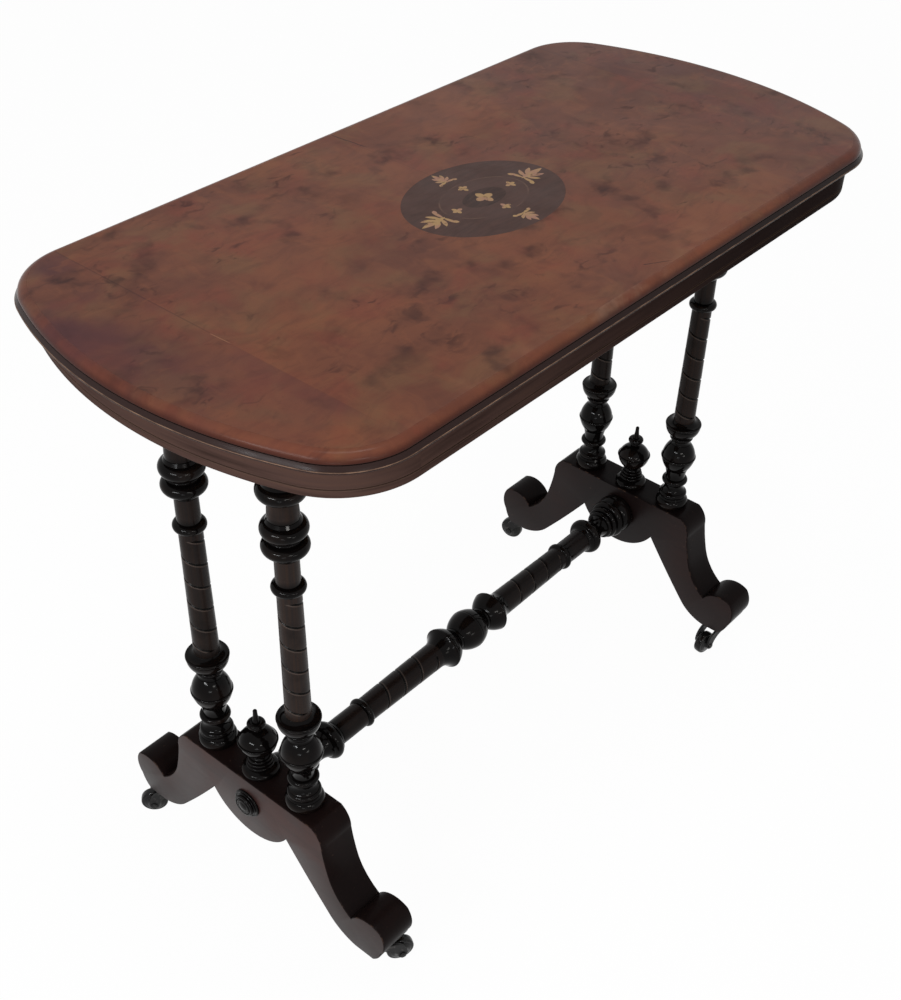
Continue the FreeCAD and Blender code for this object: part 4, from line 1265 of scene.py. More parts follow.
@dataclass
class TableTop:
    """Board, veneers, moulded edge and frieze."""

    plan: Plan = Plan(449 * MM, 217 * MM, 58 * MM, 80 * MM)
    rail_plan: Plan = Plan(436 * MM, 208 * MM, 55 * MM, 88 * MM)
    height: float = 726 * MM
    thick: float = 15.5 * MM
    edge_width: float = 12.5 * MM
    roll_drop: float = 8.5 * MM
    roll_setback: float = 3.2 * MM
    quirk_height: float = 0.9 * MM
    quirk_depth: float = 1.3 * MM
    ridge_thick: float = 2.4 * MM
    ridge_round: float = 0.8 * MM
    hollow_share: float = 0.35
    rail_depth: float = 33.5 * MM
    rail_thick: float = 18 * MM
    line_rise: float = 7.5 * MM
    line_width: float = 1.6 * MM
    line_depth: float = 1.2 * MM
    rail_round: float = 2 * MM
    ring: tuple[float, float] = (104 * MM, 70 * MM)
    roll_steps: int = 14
    bead_steps: int = 8
    round_steps: int = 6
    crease: float = 26.0
    marks: dict[str, float] = field(default_factory=dict)

    @property
    def soffit(self) -> float:
        """Height of the underside of the board."""
        return self.height - self.thick

    def edge_section(self) -> Section:
        """Thumb roll, quirk, hollow and ridge."""
        top, back = self.height, self.roll_setback
        reach = self.edge_width - back
        radius = (reach ** 2 + self.roll_drop ** 2) / (2 * self.roll_drop)
        half = math.atan2(reach, radius - self.roll_drop) / 2
        roll_mid = (self.edge_width - radius * math.sin(half), top - radius * (1 - math.cos(half)))
        low = top - self.roll_drop
        quirk = low - self.quirk_height
        ridge = self.soffit + self.ridge_thick
        section = Section(self.edge_width, low).line(self.edge_width, top)
        section.curve(roll_mid, (back, low), self.roll_steps)
        self.marks["roll"] = section.run[-1]
        section.line(back + self.quirk_depth, low).line(back + self.quirk_depth, quirk).line(back, quirk)
        hollow = (back * self.hollow_share + self.ridge_round, (quirk + ridge) / 2)
        section.curve(hollow, (self.ridge_round, ridge), self.bead_steps)
        nose = (0, self.soffit + self.ridge_thick / 2)
        section.curve(nose, (self.ridge_round, self.soffit), self.bead_steps)
        # The painted highlight line of the ridge lies a quarter of the way round its nose
        self.marks["ridge"] = section.run[-1 - self.bead_steps * 3 // 4]
        return section.line(self.edge_width, self.soffit).line(self.edge_width, low)

    def rail_section(self) -> Section:
        """Flat face, incised line and softened lower edge."""
        low = self.soffit - self.rail_depth
        line = low + self.line_rise
        ease = self.rail_round * (1 - math.sqrt(0.5))
        section = Section(self.rail_thick / 2, self.soffit).line(0, self.soffit)
        section.line(0, line + self.line_width)
        section.line(self.line_depth, line + self.line_width / 2)
        self.marks["line"] = section.run[-1]
        section.line(0, line).line(0, low + self.rail_round)
        section.curve((ease, low + ease), (self.rail_round, low), self.round_steps)
        section.line(self.rail_thick, low).line(self.rail_thick, self.soffit)
        return section.line(self.rail_thick / 2, self.soffit)

    def build(self, tree: MouldingTree) -> None:
        """Carry the edge and the frieze round the board.

        Args:
            tree: Tree that carries a section along a path.
        """
        edge, rail = self.edge_section(), self.rail_section()
        edge_finish = PolishedEdge(self.marks["roll"], self.marks["ridge"], BurrWalnut()).make()
        rail_finish = FriezeWalnut(self.marks["line"]).make()
        rings = (("edge", self.plan, edge, "walnut_edge", edge_finish),
                 ("apron", self.rail_plan, rail, "frieze_walnut", rail_finish))
        for name, plan, section, slot, finish in rings:
            side, end = plan.side_path(), plan.end_path()
            # Place of each length, with its path, its turn and where its grain starts
            for place, path, turn, start in (("front", side, 0, 15.0), ("far", end, 0, 9.0),
                                             ("rear", side, 180, 13.8), ("near", end, 180, 13.8)):
                mesh = tree.mesh(path, section, turn, start, finish)
                node = name + "_" + place
                piece(node + "_moulding", mesh, "table", [node], self.crease)

    def dress(self) -> None:
        """Finish the veneers, the board and what lies under it."""
        dress_node("burr_veneer", BurrWalnut().make())
        ground = MedallionVeneer("medallion_ground_veneer", (69, 48, 43), (59, 42, 38), self.ring)
        heart = MedallionVeneer("medallion_heart_veneer", (60, 42, 37), (47, 33, 30))
        dress_node("medallion_ground", ground.make())
        dress_node("medallion_heart", heart.make())
        inlay = Boxwood().make()
        for node in ("inlay_flower", "inlay_florets", "inlay_sprays"):
            dress_node(node, inlay)
        lengthwise, crosswise = Softwood(Lie.ALONG).make(), Softwood(Lie.ACROSS).make()
        dress_node("top_core", lengthwise)
        dress_node("glue_blocks", lengthwise)
        for node in ("bearer_near", "bearer_far"):
            dress_node(node, crosswise)


class Lathe:
    """Outline of a turned piece, drawn upwards, with marks for its shafts and crests."""

    quirk_depth: float = 0.8 * MM
    # How deep and how high each point of a quirk lies, in quirk depths
    quirk_points: Shares = ((1.0, 0.2), (1.0, 0.7), (0.0, 0.9))
    arc_steps: int = 14
    dome_steps: int = 8
    fillet_steps: int = 4
    crest_reach: int = 7
    crest_height: float = 1.1 * MM

    def __init__(self, height: float) -> None:
        """Start on the axis.

        Args:
            height: Height of the start.
        """
        self.points = [Vector((0, height))]
        self.shaft = [0.0]

    def line(self, radius: float, height: float, steps: int = 1, shaft: float = 0.0) -> None:
        """Straight run to a point.

        Args:
            radius: Radius at its end.
            height: Height at its end.
            steps: Number of steps.
            shaft: 1 where the run is a shaft.
        """
        start, stop = self.points[-1], Vector((radius, height))
        if (stop - start).length < 1e-9:
            return
        for step in range(1, steps + 1):
            self.points.append(start.lerp(stop, step / steps))
            self.shaft.append(shaft)

    def dome(self, height: float) -> None:
        """Round cap that closes on the axis."""
        start = self.points[-1]
        rise = height - start.y
        radius = (start.x ** 2 + rise ** 2) / (2 * rise)
        half = math.atan2(start.x, radius - rise) / 2
        middle = Vector((radius * math.sin(half), height - radius * (1 - math.cos(half))))
        self.extend(arc(start, middle, Vector((0, height)), self.dome_steps))

    def extend(self, points: list[Vector]) -> None:
        """Add points that are no shaft."""
        self.points += points
        self.shaft += [0.0] * len(points)

    def stack(self, shares: Shares, length: float, radius: float) -> None:
        """Mouldings of a table of shares.

        Args:
            shares: Starting radius, then rise, radius half way and radius at the end of each moulding.
            length: Length of the whole stack.
            radius: Its widest radius.
        """
        rows = shares[1:]
        whole = sum(row[0] for row in rows)
        self.line(radius * shares[0], self.points[-1].y)
        height = self.points[-1].y
        for place, (rise, middle, stop) in enumerate(rows):
            if 0 < place and length * rise / whole > 3 * self.quirk_depth:
                self.quirk()
            start = self.points[-1]
            height += length * rise / whole
            if stop == 0:
                self.dome(height)
            elif middle is None:
                self.line(radius * stop, height, self.fillet_steps, float(height - start.y > radius / 2))
            else:
                way = Vector((radius * middle, (start.y + height) / 2))
                self.extend(arc(start, way, Vector((radius * stop, height)), self.arc_steps))

    def quirk(self) -> None:
        """Sharp little groove that parts one moulding from the next."""
        at, deep = self.points[-1], self.quirk_depth
        self.extend([Vector((at.x - deep * inset, at.y + deep * rise)) for inset, rise in self.quirk_points])

    def pin(self, radius: float, length: float) -> None:
        """Plain round pin."""
        self.line(radius, self.points[-1].y)
        self.line(radius, self.points[-1].y + length, 2)

    def crests(self) -> list[float]:
        """How much each point stands out from the outline round it."""
        found = []
        for place, point in enumerate(self.points):
            around = self.points[max(0, place - self.crest_reach):place + self.crest_reach + 1]
            mean = sum(other.x for other in around) / len(around)
            found.append(min(1.0, max(0.0, (point.x - mean) / self.crest_height)))
        return found


def upside_down(shares: Shares) -> Shares:
    """The same turning read from its other end."""
    radii = [shares[0]] + [row[2] for row in shares[1:]]
    rows = [(row[0], row[1], radii[place]) for place, row in enumerate(shares[1:])]
    return (radii[-1],) + tuple(reversed(rows))


@dataclass(frozen=True)
class Groove:
    """Left-handed spiral groove between two heights of a turning."""

    low: float
    high: float
    pitch: float = 28.5 * MM
    width: float = 3.2 * MM
    depth: float = 1.5 * MM
    margin: float = 8 * MM
    start: float = math.radians(-128)


class TurningTree:
    """Tree that turns an outline about the axis and cuts a spiral groove."""

    # Where the painted highlight on the groove's lower lip lies and how wide it is, in half widths of the
    # groove
    lip_place: float = 1.05
    lip_width: float = 0.6

    def __init__(self) -> None:
        """Build the tree."""
        numbers = ("Low", "High", "Pitch", "Width", "Depth", "Start")
        sockets = {"Outline": "NodeSocketObject"}
        sockets.update({title: "NodeSocketInt" for title in ("Outline Points", "Around")})
        sockets.update({"Groove " + title: "NodeSocketFloat" for title in numbers})
        sockets["Finish"] = "NodeSocketMaterial"
        tree = Tree("Turning", sockets)
        self.tree = tree
        outline = tree.pattern("Outline")
        grid, row, column = tree.grid(tree.input("Outline Points"), tree.plus(tree.input("Around"), 1.0))
        angle = tree.times(tree.math("DIVIDE", column, tree.input("Around")), 2 * math.pi)
        radius, _, height = tree.parts(tree.read(outline, tree.position(), row, "FLOAT_VECTOR"))
        cut, lip = self.groove(angle, height)
        radius = tree.minus(radius, tree.times(cut, tree.input("Groove Depth")))
        spot = tree.combine(tree.times(radius, tree.math("COSINE", angle)),
                            tree.times(radius, tree.math("SINE", angle)), height)
        kept = tree.keep(tree.keep(grid, "groove", cut, "FLOAT"), "lip", lip, "FLOAT")
        for mark in ("shaft", "crest"):
            kept = tree.keep(kept, mark, tree.read(outline, tree.named(mark, "FLOAT"), row, "FLOAT"), "FLOAT")
        tree.shape(kept, spot)

    def groove(self, angle: Socket, height: Socket) -> tuple[Socket, Socket]:
        """Depth of the groove at an angle and height, and the band of its lower lip that takes a painted
        highlight, each from 0 to 1.

        Args:
            angle: Angle round the axis.
            height: Height along the axis; below the origin the groove is turned end for end.

        Returns:
            The sockets of the depth and the lip's painted highlight.
        """
        tree = self.tree
        low, high, pitch, width, start = (tree.input("Groove " + title)
                                          for title in ("Low", "High", "Pitch", "Width", "Start"))
        level = tree.math("ABSOLUTE", height)
        turn = tree.times(angle, tree.math("SIGN", height))
        fall = tree.math("DIVIDE", tree.minus(high, level), pitch)
        lead = tree.plus(tree.times(fall, 2 * math.pi), start)
        off = tree.math("DIVIDE", tree.minus(turn, lead), 2 * math.pi)
        reach = tree.times(tree.minus(off, tree.math("ROUND", off)), pitch)
        share = tree.math("DIVIDE", reach, tree.times(width, 0.5))
        deep = tree.math("MAXIMUM", tree.minus(1.0, tree.math("ABSOLUTE", share)), 0.0)
        step = tree.off(share, -self.lip_place)
        edge = tree.math("MAXIMUM", tree.minus(1.0, tree.math("DIVIDE", step, self.lip_width)), 0.0)
        inside = tree.times(tree.math("GREATER_THAN", level, low), tree.math("LESS_THAN", level, high))
        return tree.times(deep, inside), tree.times(edge, inside)

    def mesh(self, lathe: Lathe, material: Material, around: int = 96,
             groove: Groove | None = None) -> Mesh:
        """One turned piece, standing on its own axis.

        Args:
            lathe: Its outline.
            material: Its finish.
            around: Facets round the axis.
            groove: Its spiral groove, if it has one.

        Returns:
            The mesh.
        """
        cut = groove or Groove(0.0, 0.0, depth=0.0)
        flat = [(point.x, 0, point.y) for point in lathe.points]
        outline = pattern_object("outline", flat, shaft=lathe.shaft, crest=lathe.crests())
        mesh = self.tree.mesh(
            Outline=outline, Outline_Points=len(flat), Around=around, Groove_Low=cut.low + cut.margin,
            Groove_High=cut.high - cut.margin, Groove_Pitch=cut.pitch, Groove_Width=cut.width,
            Groove_Depth=cut.depth, Groove_Start=cut.start, Finish=material)
        discard(outline)
        return sealed(mesh)


@dataclass
class Columns:
    """Four turned columns."""

    spread_x: float = 344 * MM
    spread_y: float = 66.486 * MM
    foot_top: float = 195 * MM
    bearer_low: float = 686.5 * MM
    radius: float = 23.3 * MM
    base_length: float = 133.5 * MM
    head_length: float = 197.5 * MM
    tenon_radius: float = 11 * MM
    foot_tenon: float = 36 * MM
    head_tenon: float = 18 * MM
    shaft_steps: int = 250
    facets: int = 120
    base: Shares = (
        0.82, (0.094, 0.910, 0.790), (0.024, None, 0.740), (0.050, 0.780, 0.680), (0.094, 0.530, 0.560),
        (0.063, 0.720, 0.550), (0.110, 0.565, 0.635), (0.126, 0.830, 0.935), (0.031, 0.970, 0.925),
        (0.142, 0.810, 0.550), (0.047, 0.525, 0.550), (0.039, 0.640, 0.585), (0.118, 0.880, 0.960),
        (0.031, 0.985, 0.920), (0.031, 0.665, 0.580),
    )
    head: Shares = (
        0.51, (0.051, 0.715, 0.510), (0.150, None, 0.500), (0.030, 0.560, 0.700), (0.075, 0.960, 0.720),
        (0.022, 0.640, 0.700), (0.082, 0.955, 0.720), (0.020, None, 0.640), (0.110, None, 0.585),
        (0.081, 0.995, 0.770), (0.030, None, 0.730), (0.152, 0.620, 0.665), (0.041, 0.860, 0.730),
        (0.156, None, 0.840),
    )

    def build(self, tree: TurningTree, material: Material) -> None:
        """Turn one column and stand it in four places.

        Args:
            tree: Tree that turns an outline.
            material: Finish of the columns.
        """
        length = self.bearer_low - self.foot_top
        lathe = Lathe(-self.foot_tenon)
        lathe.pin(self.tenon_radius, self.foot_tenon)
        lathe.stack(self.base, self.base_length, self.radius)
        low = lathe.points[-1].y
        high = length - self.head_length
        lathe.line(self.radius * self.head[0], high, self.shaft_steps, 1.0)
        lathe.stack(self.head, self.head_length, self.radius)
        lathe.pin(self.tenon_radius, self.head_tenon)
        lathe.line(0, lathe.points[-1].y)
        mesh = tree.mesh(lathe, material, self.facets, Groove(low, high))
        for end in End:
            for side in Side:
                place = Vector((end.value * self.spread_x, side.value * self.spread_y, self.foot_top))
                node = "column_" + end.name.lower() + "_" + side.name.lower()
                stand_turned(node, mesh, Matrix.Translation(place))


@dataclass
class Finials:
    """Turned finials in the middle of the feet."""

    spread: float = 344 * MM
    foot_top: float = 195 * MM
    height: float = 91 * MM
    radius: float = 21.7 * MM
    dowel_radius: float = 6 * MM
    dowel_length: float = 26 * MM
    shares: Shares = (
        0.85, (0.085, 0.950, 0.840), (0.020, None, 0.660), (0.050, 0.700, 0.610), (0.045, 0.650, 0.550),
        (0.045, 0.590, 0.490), (0.060, 0.430, 0.510), (0.190, 0.840, 0.960), (0.030, 1.000, 0.930),
        (0.150, 0.760, 0.300), (0.045, 0.210, 0.240), (0.090, 0.460, 0.200), (0.165, 0.130, 0.110),
        (0.025, None, 0.000),
    )

    def build(self, tree: TurningTree, material: Material) -> None:
        """Turn one finial and stand it on both feet.

        Args:
            tree: Tree that turns an outline.
            material: Finish of the finials.
        """
        lathe = Lathe(-self.dowel_length)
        lathe.pin(self.dowel_radius, self.dowel_length)
        lathe.stack(self.shares, self.height, self.radius)
        mesh = tree.mesh(lathe, material)
        for end in End:
            place = Matrix.Translation((end.value * self.spread, 0, self.foot_top))
            stand_turned("finial_" + end.name.lower(), mesh, place)


@dataclass
class Stretcher:
    """Turned rail between the feet, and the roundels outside them."""

    level: float = 159 * MM
    half: float = 321.5 * MM
    foot_outer: float = 366.5 * MM
    radius: float = 26.5 * MM
    centre_half: float = 62 * MM
    end_length: float = 137.5 * MM
    tenon_radius: float = 11 * MM
    tenon_length: float = 14 * MM
    boss_radius: float = 17.5 * MM
    boss_depth: float = 9 * MM
    spigot_radius: float = 9.9 * MM
    spigot_length: float = 2 * MM
    shaft_steps: int = 150
    centre: Shares = (
        0.955, (0.032, None, 0.945), (0.339, 0.830, 0.560), (0.065, 0.535, 0.560), (0.274, 0.840, 0.985),
        (0.032, 0.995, 0.960), (0.258, 0.720, 0.625),
    )
    end: Shares = (
        0.570, (0.065, 0.690, 0.575), (0.291, None, 0.580), (0.044, 0.620, 0.770), (0.102, 0.900, 0.680),
        (0.160, 0.530, 0.580), (0.051, 0.720, 0.640), (0.058, 0.840, 0.740), (0.087, 0.970, 0.850),
        (0.142, 1.000, 0.880),
    )
    boss: Shares = (
        0.95, (0.300, 1.000, 0.860), (0.120, 0.740, 0.720), (0.260, 0.770, 0.560), (0.200, 0.540, 0.360),
        (0.120, None, 0.000),
    )

    def build(self, tree: TurningTree, material: Material) -> None:
        """Turn the rail and the roundels and lay them along the table.

        Args:
            tree: Tree that turns an outline.
            material: Finish of both.
        """
        lathe = Lathe(-self.half - self.tenon_length)
        lathe.pin(self.tenon_radius, self.tenon_length)
        lathe.stack(upside_down(self.end), self.end_length, self.radius)
        thin = lathe.points[-1].copy()
        lathe.line(self.radius * self.centre[-1][2], -self.centre_half, self.shaft_steps, 1.0)
        lathe.stack(upside_down(self.centre), self.centre_half, self.radius)
        lathe.stack(self.centre, self.centre_half, self.radius)
        lathe.line(thin.x, -thin.y, self.shaft_steps, 1.0)
        lathe.stack(self.end, self.end_length, self.radius)
        lathe.pin(self.tenon_radius, self.tenon_length)
        lathe.line(0, lathe.points[-1].y)
        laid = Matrix.Translation((0, 0, self.level)) @ Matrix.Rotation(math.pi / 2, 4, "Y")
        mesh = tree.mesh(lathe, material, groove=Groove(self.centre_half, -thin.y))
        stand_turned("stretcher", mesh, laid)
        boss = Lathe(-self.spigot_length)
        boss.pin(self.spigot_radius, self.spigot_length)
        boss.stack(self.boss, self.boss_depth, self.boss_radius)
        boss_mesh = tree.mesh(boss, material)
        for end in End:
            spin = Matrix.Rotation(0 if end is End.FAR else math.pi, 4, "Z")
            place = spin @ laid @ Matrix.Translation((0, 0, self.foot_outer))
            stand_turned("roundel_" + end.name.lower(), boss_mesh, place)


@dataclass
class Feet:
    """Two sawn feet with eased arrises."""

    spread: float = 344 * MM
    castor_height: float = 42 * MM
    depth: float = 153 * MM
    half_span: float = 197.5 * MM
    thick: float = 45 * MM
    flat_share: float = 0.4936
    cusp: tuple[float, float] = (0.283, 0.6536)
    pendant_low: float = 0.4405
    ease: float = 1.1 * MM
    outer: tuple = (
        ((0.543, 0.935), (0.563, 0.830)), ((0.580, 0.705), (0.602, 0.588)), ((0.663, 0.418), (0.758, 0.294)),
        ((0.868, 0.390), (0.968, 0.364)), ((1.000, 0.255), (0.974, 0.128)), ((0.952, 0.055), (0.915, 0.000)),
    )
    pad_inner: float = 0.785
    inner: tuple = (((0.695, 0.037), (0.602, 0.127)),)
    bulge: tuple[float, float] = (0.460, 0.352)
    flat_steps: int = 12
    pad_steps: int = 4
    arc_steps: int = 16
    bulge_steps: int = 20
    pendant_steps: int = 18
    ease_steps: int = 4
    rim_spans: int = 6
    crease: float = 38.0

    def spot(self, share: tuple[float, float]) -> Vector:
        """Point of the outline from shares of the half span and the depth."""
        return Vector((share[0] * self.half_span, self.castor_height + share[1] * self.depth))

    def half_outline(self) -> list[Vector]:
        """Rear half of the outline, from the middle of the top to the middle of the pendant."""
        points = [self.spot((0.0, 1.0))]
        points += self.straight(points[0], self.spot((self.flat_share, 1.0)), self.flat_steps)
        for middle, stop in self.outer:
            points += arc(points[-1], self.spot(middle), self.spot(stop), self.arc_steps)
        points += self.straight(points[-1], self.spot((self.pad_inner, 0)), self.pad_steps)
        for middle, stop in self.inner:
            points += arc(points[-1], self.spot(middle), self.spot(stop), self.arc_steps)
        cusp = self.spot(self.cusp)
        points += arc(points[-1], self.spot(self.bulge), cusp, self.bulge_steps)
        low, mirrored = self.spot((0.0, self.pendant_low)), Vector((-cusp.x, cusp.y))
        return points + arc(cusp, low, mirrored, 2 * self.pendant_steps)[:self.pendant_steps]

    def straight(self, start: Vector, stop: Vector, steps: int) -> list[Vector]:
        """Points of a straight run, without its start."""
        return [start.lerp(stop, step / steps) for step in range(1, steps + 1)]

    def outline(self) -> list[Vector]:
        """Whole outline, closed, in order."""
        half = self.half_outline()
        return half + [Vector((-point.x, point.y)) for point in reversed(half[1:-1])]

    def drawn_in(self, points: list[Vector], inset: float) -> list[Vector]:
        """Outline that is moved inwards.

        Args:
            points: Outline, clockwise.
            inset: How far.

        Returns:
            The inner outline.
        """
        moved = []
        for place, point in enumerate(points):
            before = (point - points[place - 1]).normalized()
            after = (points[(place + 1) % len(points)] - point).normalized()
            normals = [Vector((way.y, -way.x)) for way in (before, after)]
            way = (normals[0] + normals[1]).normalized()
            moved.append(point + way * (inset / max(0.5, way.dot(normals[0]))))
        return moved

    def mesh(self, material: Material) -> Mesh:
        """Plank with eased arrises, at the middle of the table.

        Args:
            material: Finish of the plank.

        Returns:
            The mesh, with marks for its sawn rim and its arrises.
        """
        outline = self.outline()
        half = self.thick / 2
        rings = []
        for step in range(self.ease_steps + 1):
            angle = math.pi / 2 * step / self.ease_steps
            inset, across = self.ease * (1 - math.sin(angle)), -half + self.ease * (1 - math.cos(angle))
            rings.append((across, inset, 0.0 if step == 0 else 1.0, math.sin(2 * angle)))
        eased = [(-across, inset, rim, arris) for across, inset, rim, arris in reversed(rings)]
        for step in range(1, self.rim_spans):
            across = -half + self.ease + (self.thick - 2 * self.ease) * step / self.rim_spans
            rings.append((across, 0.0, 1.0, 0.0))
        rings += eased
        work = bmesh.new()
        rim_mark = work.verts.layers.float.new("rim")
        arris_mark = work.verts.layers.float.new("arris")
        rows = []
        for across, inset, rim, arris in rings:
            row = []
            for point in self.drawn_in(outline, inset) if inset else outline:
                vert = work.verts.new((across, point.x, point.y))
                vert[rim_mark], vert[arris_mark] = rim, arris
                row.append(vert)
            rows.append(row)
        bands(work, rows)
        caps = []
        for row in (rows[0], rows[-1]):
            verts = []
            for vert in row:
                copy = work.verts.new(vert.co)
                copy[rim_mark], copy[arris_mark] = 0.0, 0.0
                verts.append(copy)
            caps.append(work.faces.new(verts))
        bmesh.ops.recalc_face_normals(work, faces=work.faces)
        bmesh.ops.triangulate(work, faces=caps)
        bmesh.ops.remove_doubles(work, verts=work.verts, dist=MERGE)
        bmesh.ops.recalc_face_normals(work, faces=work.faces)
        mesh = bpy.data.meshes.new("foot")
        work.to_mesh(mesh)
        work.free()
        mesh.materials.append(material)
        return mesh

    def build(self) -> None:
        """Saw one foot and stand it at both ends."""
        mesh = self.mesh(EbonisedPlank().make())
        for end in End:
            node = "foot_" + end.name.lower()
            moved = placed(mesh, Matrix.Translation((end.value * self.spread, 0, 0)))
            piece(node + "_sawn", moved, "table", [node], self.crease)


class ScrewTree:
    """Tree that sets screws at points, each with its slot turned at random."""

    def __init__(self) -> None:
        """Build the tree."""
        tree = Tree("Screws", {
            "Places": "NodeSocketObject", "Screw": "NodeSocketObject", "Seed": "NodeSocketInt",
            "Finish": "NodeSocketMaterial",
        })
        self.tree = tree
        turns = {0: (0, 0, 0), 1: (0, 0, math.pi), "Seed": tree.input("Seed")}
        spin = tree.add("FunctionNodeRandomValue", turns, data_type="FLOAT_VECTOR")
        screws = tree.add("GeometryNodeInstanceOnPoints", {
            "Points": tree.pattern("Places"), "Instance": tree.pattern("Screw"), "Rotation": spin.outputs[0]})
        tree.finish(screws.outputs["Instances"])

    def mesh(self, places: list[Vector], screw: Mesh, seed: int,
             material: Material) -> Mesh:
        """A set of screws.

        Args:
            places: Middle of each head's face.
            screw: One screw, pointing up from the origin.
            seed: Seed of the slots' turns.
            material: Finish of the screws.

        Returns:
            The mesh, in place.
        """
        points = pattern_object("places", places)
        pattern = put("screw", screw)
        mesh = self.tree.mesh(Places=points, Screw=pattern, Seed=seed, Finish=material)
        discard(points, pattern)
        return mesh


@dataclass
class Fixings:
    """Screws under the bearers and the castor plates, and the bolts of the stretcher."""

    bearer_x: float = 344 * MM
    bearer_low: float = 686.5 * MM
    bearer_offset: tuple[float, float] = (23.1 * MM, 115.92 * MM)
    shank: float = 2.2 * MM
    head: float = 4.2 * MM
    head_depth: float = 3.0 * MM
    length: float = 34 * MM
    slot_share: float = 0.16
    cut_share: float = 0.22
    facets: int = 28
    seed: int = 7

    def screw(self) -> Mesh:
        """One countersunk screw with a slot, pointing up from the origin."""
        head, depth, slot = self.head, self.head_depth, self.head * self.slot_share
        work = bmesh.new()
        profile = ((head * 0.98, 0.0), (head, depth * 0.04), (self.shank, depth), (self.shank, self.length))
        rows = []
        for radius, height in profile:
            angles = [2 * math.pi * step / self.facets for step in range(self.facets)]
            rows.append([work.verts.new((radius * math.cos(angle), radius * math.sin(angle), height))
                         for angle in angles])
        bands(work, rows)
        work.faces.new(rows[-1])
        work.faces.new(list(reversed(rows[0])))
        for point in ((0, slot, 0), (0, -slot, 0)):
            geometry = list(work.verts) + list(work.edges) + list(work.faces)
            bmesh.ops.bisect_plane(work, geom=geometry, dist=MERGE / 10, plane_co=point, plane_no=(0, 1, 0))
        strip = [face for face in work.faces if abs(face.calc_center_median().y) < slot * 0.5
                 and all(vert.co.z < depth * 0.02 for vert in face.verts)]
        sunk = bmesh.ops.extrude_face_region(work, geom=strip)
        for thing in sunk["geom"]:
            if isinstance(thing, bmesh.types.BMVert):
                thing.co.z += head * self.cut_share
        bmesh.ops.delete(work, geom=strip, context="FACES_ONLY")
        bmesh.ops.recalc_face_normals(work, faces=work.faces)
        mesh = bpy.data.meshes.new("screw")
        work.to_mesh(mesh)
        work.free()
        return mesh

    def bearer_places(self) -> list[Vector]:
        """Heads of the screws under both bearers."""
        across, along = self.bearer_offset
        return [Vector((end.value * self.bearer_x + x, y, self.bearer_low))
                for end in End for x in (-across, across) for y in (-along, along)]

    def build(self, tree: ScrewTree, material: Material) -> None:
        """Set the screws and finish the bolts.

        Args:
            tree: Tree that sets screws at points.
            material: Finish of the steel.
        """
        mesh = tree.mesh(self.bearer_places(), self.screw(), self.seed, material)
        piece("bearer_screws_slotted", mesh, "table", ["bearer_screws"])
        for node in ("castor_screws", "stretcher_bolts", "stretcher_nuts"):
            dress_node(node, material)


@dataclass
class Castors:
    """Four swivelling castors."""

    corners: tuple[str, ...] = ("near_front", "near_rear", "far_front", "far_rear")

    def dress(self) -> None:
        """Stand smooth copies in for the plates, pins, horns and wheels."""
        iron = Metal("castor_iron_dark", (70, 67, 65), (16, 15, 15), 0.26, 0.54).make()
        wheel = WheelBlack().make()
        for corner in self.corners:
            swivel = "swivel_" + corner
            for kind, body in (("plate", "table"), ("pintle", "table"), ("horn", swivel), ("axle", swivel)):
                smooth_copy("castor_" + kind + "_" + corner, body, iron)
            smooth_copy("castor_wheel_" + corner, "wheel_" + corner, wheel)


@dataclass
class Lamp:
    """Soft area lamp."""

    name: str
    place: tuple[float, float, float]
    aim: tuple[float, float, float]
    size: tuple[float, float]
    power: float
    colour: tuple[float, float, float]

    def build(self) -> None:
        """Hang the lamp."""
        light = bpy.data.lights.new(self.name, "AREA")
        light.shape = "RECTANGLE"
        light.size, light.size_y = self.size
        light.energy = self.power
        light.color = self.colour
        thing = put(self.name, light)
        thing.location = self.place
        way = Vector(self.aim) - Vector(self.place)
        thing.rotation_euler = way.to_track_quat("-Z", "Y").to_euler()


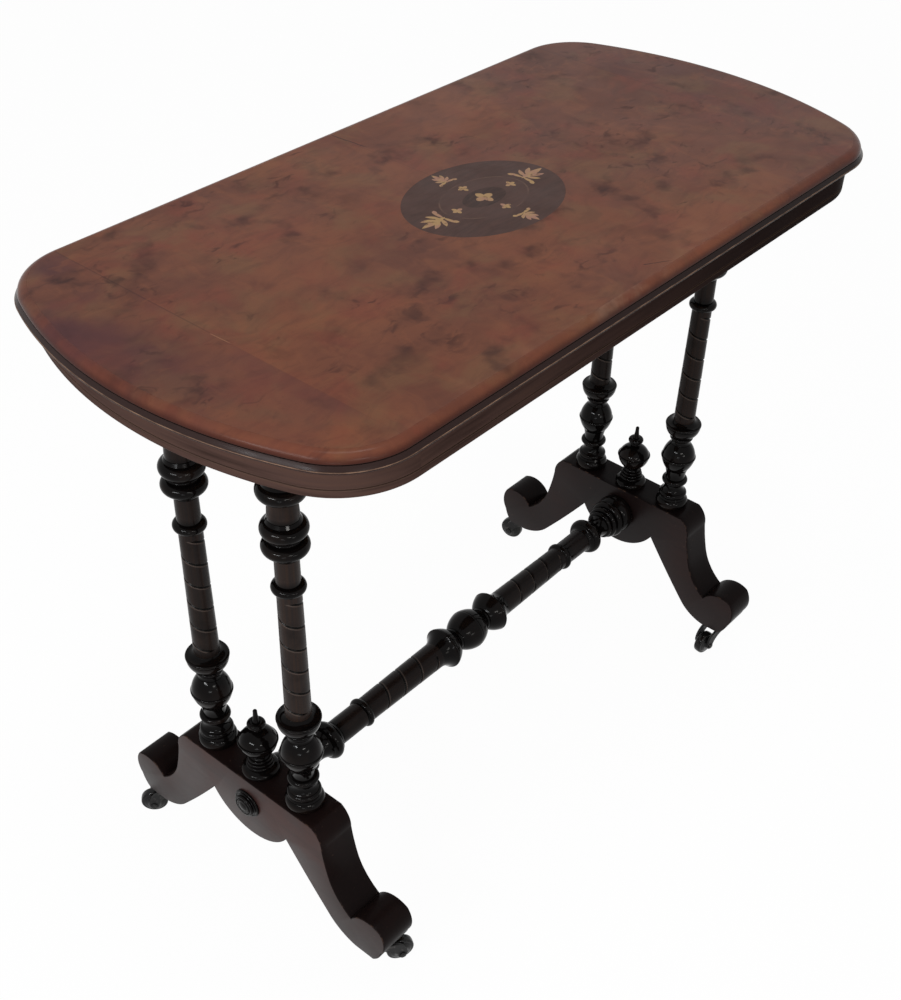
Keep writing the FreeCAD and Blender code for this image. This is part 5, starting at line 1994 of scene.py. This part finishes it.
@dataclass
class Studio:
    """Camera, pale floor, white surround and soft lamps."""

    eye: tuple[float, float, float] = (-0.968859854, -0.772240477, 1.314840484)
    tilt: tuple[float, float, float] = (48.03969971, -2.00368848, -50.27499292)
    lens: float = 49.40828957
    shift: tuple[float, float] = (-0.028920991, 0.104037859)
    sensor: float = 36.0
    clip: tuple[float, float] = (0.05, 60.0)
    fill: float = 0.42
    floor_reach: float = 12.0
    floor_tone: float = 0.86
    floor_glow: float = 0.970
    lamps: tuple[Lamp, ...] = (
        Lamp("window", (-2.3, -0.2, 1.5), (0.0, 0.0, 0.45), (1.10, 0.10), 28.0, (0.95, 0.98, 1.0)),
        Lamp("ceiling", (-0.2, -0.2, 2.7), (0.0, 0.0, 0.6), (0.90, 0.10), 18.0, (1.0, 0.98, 0.95)),
        Lamp("front", (-1.1, -1.9, 1.3), (-0.1, 0.0, 0.45), (0.60, 0.07), 7.0, (1.0, 0.97, 0.93)),
        Lamp("low_window", (-1.9, -1.3, 0.55), (0.0, 0.0, 0.40), (0.60, 0.06), 3.0, (0.95, 0.98, 1.0)),
        Lamp("low_front", (-0.5, -2.2, 0.75), (0.0, 0.0, 0.40), (0.60, 0.06), 3.0, (1.0, 0.97, 0.93)),
    )

    def build(self) -> None:
        """Set up the studio."""
        self.camera()
        self.world()
        self.floor()
        for lamp in self.lamps:
            lamp.build()
        bpy.context.scene.view_settings.view_transform = "Standard"

    def camera(self) -> None:
        """Stand the camera where the photograph was taken."""
        data = bpy.data.cameras.new("camera")
        data.lens, data.sensor_width, data.sensor_fit = self.lens, self.sensor, "AUTO"
        data.shift_x, data.shift_y = self.shift
        data.clip_start, data.clip_end = self.clip
        thing = put("camera", data)
        thing.location = self.eye
        thing.rotation_euler = [math.radians(angle) for angle in self.tilt]
        bpy.context.scene.camera = thing

    def seen(self, nodes: Nodes) -> Socket:
        """1 for rays that see the surround: camera, gloss and glass.

        Args:
            nodes: Node tree to add to.

        Returns:
            The mask's socket.
        """
        path = nodes.add("ShaderNodeLightPath")
        mask = path.outputs["Is Camera Ray"]
        for title in ("Is Glossy Ray", "Is Transmission Ray"):
            mask = nodes.math("MAXIMUM", mask, path.outputs[title])
        return mask

    def blend(self, nodes: Nodes, share: Socket, under: bpy.types.Node, over: bpy.types.Node,
              end: str) -> None:
        """Mix two shaders and end the tree.

        Args:
            nodes: Node tree to add to.
            share: Share of the upper shader.
            under: Lower shader.
            over: Upper shader.
            end: Blender's name of the output node type.
        """
        mixed = nodes.add("ShaderNodeMixShader", {0: share, 1: under.outputs[0], 2: over.outputs[0]})
        nodes.add(end, {0: mixed.outputs[0]})

    def world(self) -> None:
        """White surround that lights the table more gently than it shows."""
        world = bpy.data.worlds.new("surround")
        bpy.context.scene.world = world
        world.use_nodes = True
        nodes = Nodes(world.node_tree)
        shown = nodes.add("ShaderNodeBackground", {"Color": grey(1.0), "Strength": 1.0})
        light = nodes.add("ShaderNodeBackground", {"Color": grey(1.0), "Strength": self.fill})
        self.blend(nodes, self.seen(nodes), light, shown, "ShaderNodeOutputWorld")

    def floor(self) -> None:
        """Pale floor that keeps a faint shadow."""
        mesh = bpy.data.meshes.new("floor")
        reach = self.floor_reach
        corners = [(-reach, -reach, 0), (reach, -reach, 0), (reach, reach, 0), (-reach, reach, 0)]
        mesh.from_pydata(corners, [], [(0, 1, 2, 3)])
        thing = put("floor", mesh)
        material = bpy.data.materials.new("pale_floor")
        material.use_nodes = True
        nodes = Nodes(material.node_tree)
        matt = nodes.add("ShaderNodeBsdfDiffuse", {"Color": grey(self.floor_tone)})
        glow = nodes.add("ShaderNodeEmission", {"Color": grey(1.0), "Strength": 1.0})
        share = nodes.times(self.seen(nodes), self.floor_glow)
        self.blend(nodes, share, matt, glow, "ShaderNodeOutputMaterial")
        mesh.materials.append(material)


def main() -> None:
    """Build and dress the table piece by piece."""
    logging.basicConfig(level=logging.INFO, format="%(name)s: %(message)s", stream=sys.stdout)
    top = TableTop()
    top.build(MouldingTree())
    top.dress()
    turning = TurningTree()
    upright = EbonisedTurning(Lie.UPRIGHT).make()
    Columns().build(turning, upright)
    Finials().build(turning, upright)
    Stretcher().build(turning, EbonisedTurning(Lie.ALONG, shaft=(26, 20, 19), worn=(34, 25, 22)).make())
    Feet().build()
    steel = Metal("steel_screws", (150, 146, 140), (70, 58, 50), 0.30, 0.45).make()
    Fixings().build(ScrewTree(), steel)
    Castors().dress()
    Studio().build()


if __name__ == "__main__":
    main()
